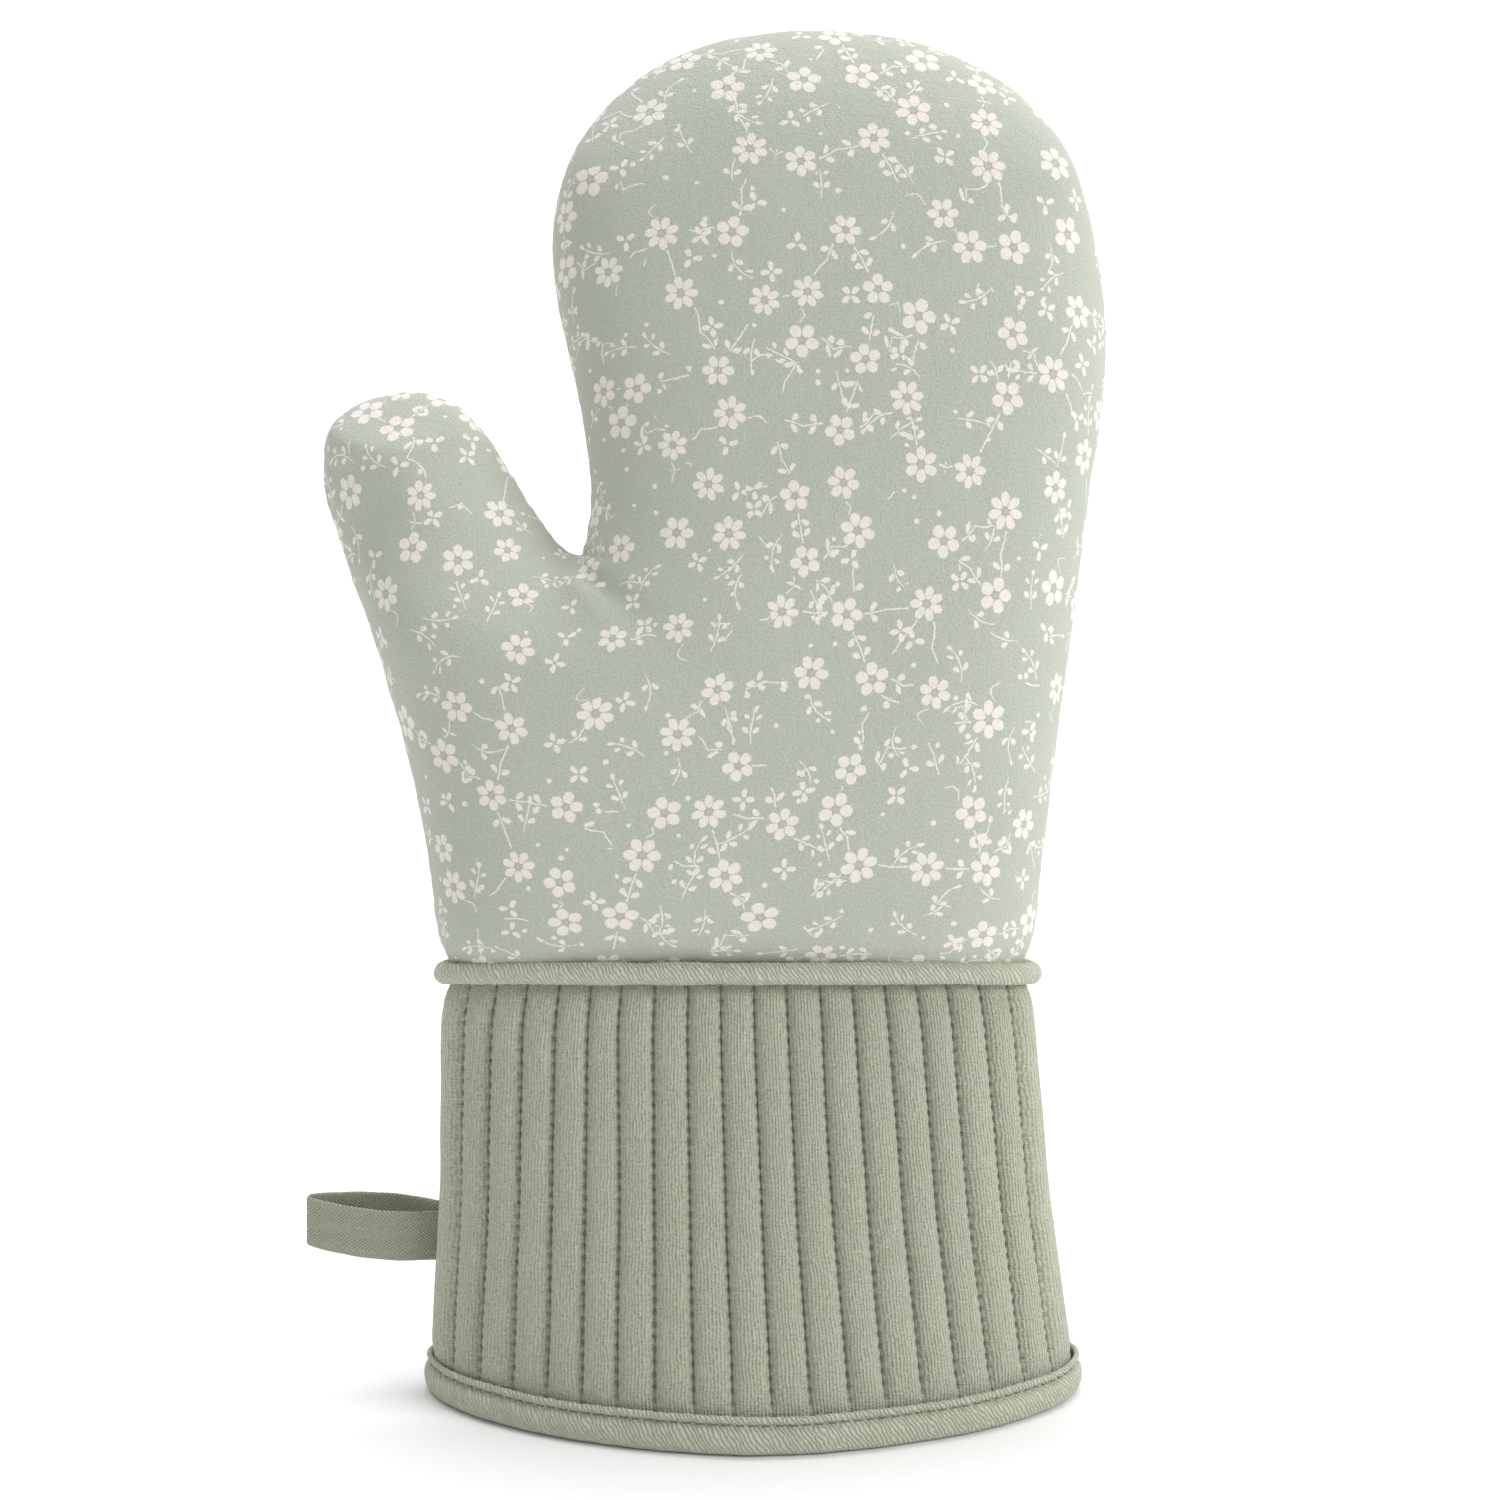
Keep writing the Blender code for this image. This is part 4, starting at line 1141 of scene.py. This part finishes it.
BINDING = [
    (1.55, 9.05), (1.60, 9.60), (1.95, 9.98), (2.40, 10.02), (2.80, 9.72), (2.92, 9.25), (2.80, 8.75),
    (2.50, 8.35), (2.26, 8.05), (2.20, 7.75), (2.32, 7.45), (2.66, 7.15), (3.00, 6.75), (3.28, 6.10),
    (3.46, 5.30), (3.54, 4.40), (3.52, 3.50), (3.38, 2.60), (3.08, 1.75), (2.60, 1.00), (1.95, 0.45),
    (1.20, 0.12), (0.30, 0.0), (-1.50, 0.0), (-3.50, 0.0), (-5.00, 0.06), (-6.00, 0.50), (-6.65, 1.30),
    (-6.90, 2.40), (-6.95, 4.00), (-6.90, 6.00), (-6.80, 7.90), (-6.30, 8.15), (-5.95, 7.80), (-6.05, 6.00),
    (-6.10, 3.00), (-5.60, 1.65), (-4.60, 1.05), (-2.00, 0.90), (0.40, 0.90), (1.60, 1.40), (2.30, 2.40),
    (2.60, 3.80), (2.55, 5.40), (2.20, 6.60), (1.70, 7.30), (1.45, 8.10),
]


BINDING_HEIGHT = 0.92  # the share of the profile's height that the binding has


def binding_pieces():
    columns = 1040
    section = ring_section(2.4, columns)
    total = section[4][-1] + section[4][1]
    stitches = round(total / 3.0)
    pitch = total / stitches

    low_profile = np.array(BINDING) * [1.0, BINDING_HEIGHT]

    def wave(shape, at, x):
        out, up = shape[:, 0], shape[:, 1] / BINDING_HEIGHT
        outside = np.clip((out - 1.0) / 1.0, 0, 1)
        top = np.clip((up - 5.5) / 3.0, 0, 1)
        groove = bell(up - 7.8, 0.75) * outside
        dent = math.cos(math.pi * at / pitch) ** 2
        jitter = 0.75 + 0.5 * ring_noise(at, 3.0, 21.0, total)
        reach = -0.62 * dent * jitter * groove
        reach += outside * (0.30 * ring_noise(at, 11.0, 3.0, total) + 0.14 * ring_noise(at, 3.4, 5.0, total))
        pucker = 0.16 * (dent - 0.5) * bell(up - 9.6, 1.0) * outside
        waviness = 0.32 * ring_noise(at, 17.0, 8.0, total) + 0.12 * ring_noise(at, 4.0, 9.0, total)
        rise = top * outside * waviness
        return np.column_stack([reach, rise - pucker])

    points, cloth = swept(section, low_profile, wave)
    add_mesh("hem_binding", points, ring_faces(columns, len(BINDING)), BIAS,
             ["hem_binding"], cloth)
    centres, ways = [], []
    px, py, nx, ny, at = section
    for k in range(stitches):
        s = (k + 0.5) * pitch
        x, y = np.interp(s, at, px, period=total), np.interp(s, at, py, period=total)
        ox, oy = np.interp(s, at, nx, period=total), np.interp(s, at, ny, period=total)
        out = 2.16 + 0.30 * ring_noise(s, 11.0, 3.0, total) + 0.14 * ring_noise(s, 3.4, 5.0, total)
        lift = 7.80 * BINDING_HEIGHT + 0.22 * ring_noise(s, 17.0, 8.0, total)
        centres.append((x + ox * out, y + oy * out, lift))
        ways.append((-oy, ox, 0.08 * ring_noise(s, 2.0, 4.0, total)))
    body, body_faces = capsules(centres, ways, 1.95, 0.22, 6)
    add_mesh("hem_topstitch_thread", body, body_faces, THREAD, ["hem_topstitch_thread"])


# ---- the loop ------------------------------------------------------------------------------------


def loop_piece():
    """One tape: an end caught in the seam, out and round a tight fold, and back beside itself."""
    steps = 96
    reach = HINGE_X - LOOP_END - TAPE / 2
    middle = []
    for i in range(steps + 1):
        angle = math.pi * i / steps
        share = math.sin(angle) ** 0.9 if 0 < i < steps else 0.0
        out = mix(LOOP_NECK, reach, share)
        swell = TAPE / 2 + GAP / 2 + LOOP_BULGE * math.sin(math.pi * share**0.8)
        y = 0.0 if i * 2 == steps else -math.copysign(swell, math.cos(angle))
        middle.append((HINGE_X - out, y, LOOP_HEIGHT + LOOP_SLOPE * out - LOOP_STAGGER * math.cos(angle)))
    close = TAPE / 2 + GAP / 2
    start = [(HINGE_X + d, -close, LOOP_HEIGHT - LOOP_STAGGER) for d in (3.8, 2.4, 1.2, 0.0)]
    finish = [(x, -y, 2 * LOOP_HEIGHT - z) for x, y, z in start[::-1]]
    path = np.array(start + middle + finish)
    for _ in range(3):
        path[1:-1] = (path[:-2] + path[1:-1] * 2 + path[2:]) / 4
    along = np.concatenate([[0.0], np.cumsum(np.linalg.norm(np.diff(path, axis=0), axis=1))])
    even = np.linspace(0, along[-1], 130)
    path = np.column_stack([np.interp(even, along, path[:, k]) for k in range(3)])
    half, thick = LOOP_WIDTH / 2, TAPE / 2
    across = np.array([-1.0, -0.97, -0.9, -0.75, -0.5, -0.25, 0.0, 0.25, 0.5, 0.75, 0.9, 0.97, 1.0])
    full = np.array([0.30, 0.72, 0.95, 1.0, 1.0, 1.0, 1.0, 1.0, 1.0, 1.0, 0.95, 0.72, 0.30])
    section = [(a, f) for a, f in zip(across, full)] + [(a, -f) for a, f in zip(across[::-1], full[::-1])]
    points, cloth = [], []
    for k, (p, s) in enumerate(zip(path, even)):
        way = path[min(k + 1, len(path) - 1)] - path[max(k - 1, 0)]
        way[2] = 0.0
        way /= np.linalg.norm(way)
        out = np.array([-way[1], way[0], 0.0])
        ripple = 0.10 * noise.noise(Vector((s / 5.0, 3.0, 1.0)))
        for a, f in section:
            edge = 0.10 * abs(a) ** 6 * math.sin(2 * math.pi * s / 1.3)
            lift = a * half + math.copysign(edge, a)
            points.append(p + out * (f * thick + ripple) + np.array([0.0, 0.0, lift]))
            cloth.append((s, a * half))
    sides = len(section)
    faces = grid_faces(len(path), sides, closed=True)
    faces.append(tuple(range(sides)))
    faces.append(tuple((len(path) - 1) * sides + k for k in reversed(range(sides))))
    tape = add_mesh("hanging_loop", np.array(points), faces, TWILL,
                    ["hanging_loop", "loop_sewn_ends"], np.array(cloth), body=None)
    return tape, float(along[-1])


hand = hand_pieces()
cuff = cuff_pieces()
piping_pieces()
binding_pieces()
loop_tape, loop_length = loop_piece()
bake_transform(loop_tape)


def face_outwards(piece):
    """Turns a piece's faces out, all together."""
    shape = bmesh.new()
    shape.from_mesh(piece.data)
    bmesh.ops.recalc_face_normals(shape, faces=shape.faces)
    shape.to_mesh(piece.data)
    shape.free()


for piece in [o for o in bpy.context.scene.objects if o.type == "MESH" and "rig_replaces" in o]:
    face_outwards(piece)

# ---- studio --------------------------------------------------------------------------------------


def plain(name, colour, roughness=0.9):
    made = bpy.data.materials.new(name)
    made.use_nodes = True
    surface = made.node_tree.nodes["Principled BSDF"]
    surface.inputs["Base Color"].default_value = (*colour, 1.0)
    surface.inputs["Roughness"].default_value = roughness
    surface.inputs["Specular IOR Level"].default_value = 0.1
    return made


def backdrop():
    """A floor that turns up into a wall with no corner."""
    profile = [(-6.0, 0.0), (1.6, 0.0)]
    profile += [(1.6 + 1.8 * math.sin(a), 1.8 - 1.8 * math.cos(a)) for a in np.linspace(0.1, math.pi / 2, 14)]
    profile += [(3.4, 8.0)]
    points = [(x, y, z) for y, z in profile for x in (-9.0, 9.0)]
    faces = [(2 * i, 2 * i + 1, 2 * i + 3, 2 * i + 2) for i in range(len(profile) - 1)]
    mesh = bpy.data.meshes.new("backdrop")
    mesh.from_pydata(points, [], faces)
    mesh.shade_smooth()
    mesh.materials.append(plain("studio_white", (0.90, 0.90, 0.90)))
    made = bpy.data.objects.new("backdrop", mesh)
    bpy.context.scene.collection.objects.link(made)


def lamp(name, place, target, size, power, colour=(1.0, 1.0, 1.0)):
    data = bpy.data.lights.new(name, "AREA")
    data.shape, data.size, data.size_y = "RECTANGLE", size[0], size[1]
    data.energy, data.color = power, colour
    made = bpy.data.objects.new(name, data)
    made.location = place
    made.rotation_euler = (Vector(target) - Vector(place)).to_track_quat("-Z", "Y").to_euler()
    bpy.context.scene.collection.objects.link(made)


backdrop()
lamp("key", (1.5, -0.9, 1.2), (0.0, 0.0, 0.16), (0.9, 0.9), 21.5)
lamp("wall", (0.0, 0.6, 3.0), (0.0, 3.2, 1.0), (4.0, 2.0), 160.0)

world = bpy.data.worlds.new("studio")
bpy.context.scene.world = world
world.use_nodes = True
world.node_tree.nodes["Background"].inputs["Color"].default_value = (1.0, 1.0, 1.0, 1.0)
world.node_tree.nodes["Background"].inputs["Strength"].default_value = 0.475

camera_data = bpy.data.cameras.new("camera")
camera_data.sensor_width, camera_data.lens = 36.0, 38.6
camera_data.clip_start, camera_data.clip_end = 0.02, 50.0
camera = bpy.data.objects.new("camera", camera_data)
camera.location = (0.01135, -0.41, 0.1617)
camera.rotation_euler = (math.pi / 2, 0.0, 0.0)
bpy.context.scene.collection.objects.link(camera)
bpy.context.scene.camera = camera
bpy.context.scene.view_settings.view_transform = "Standard"
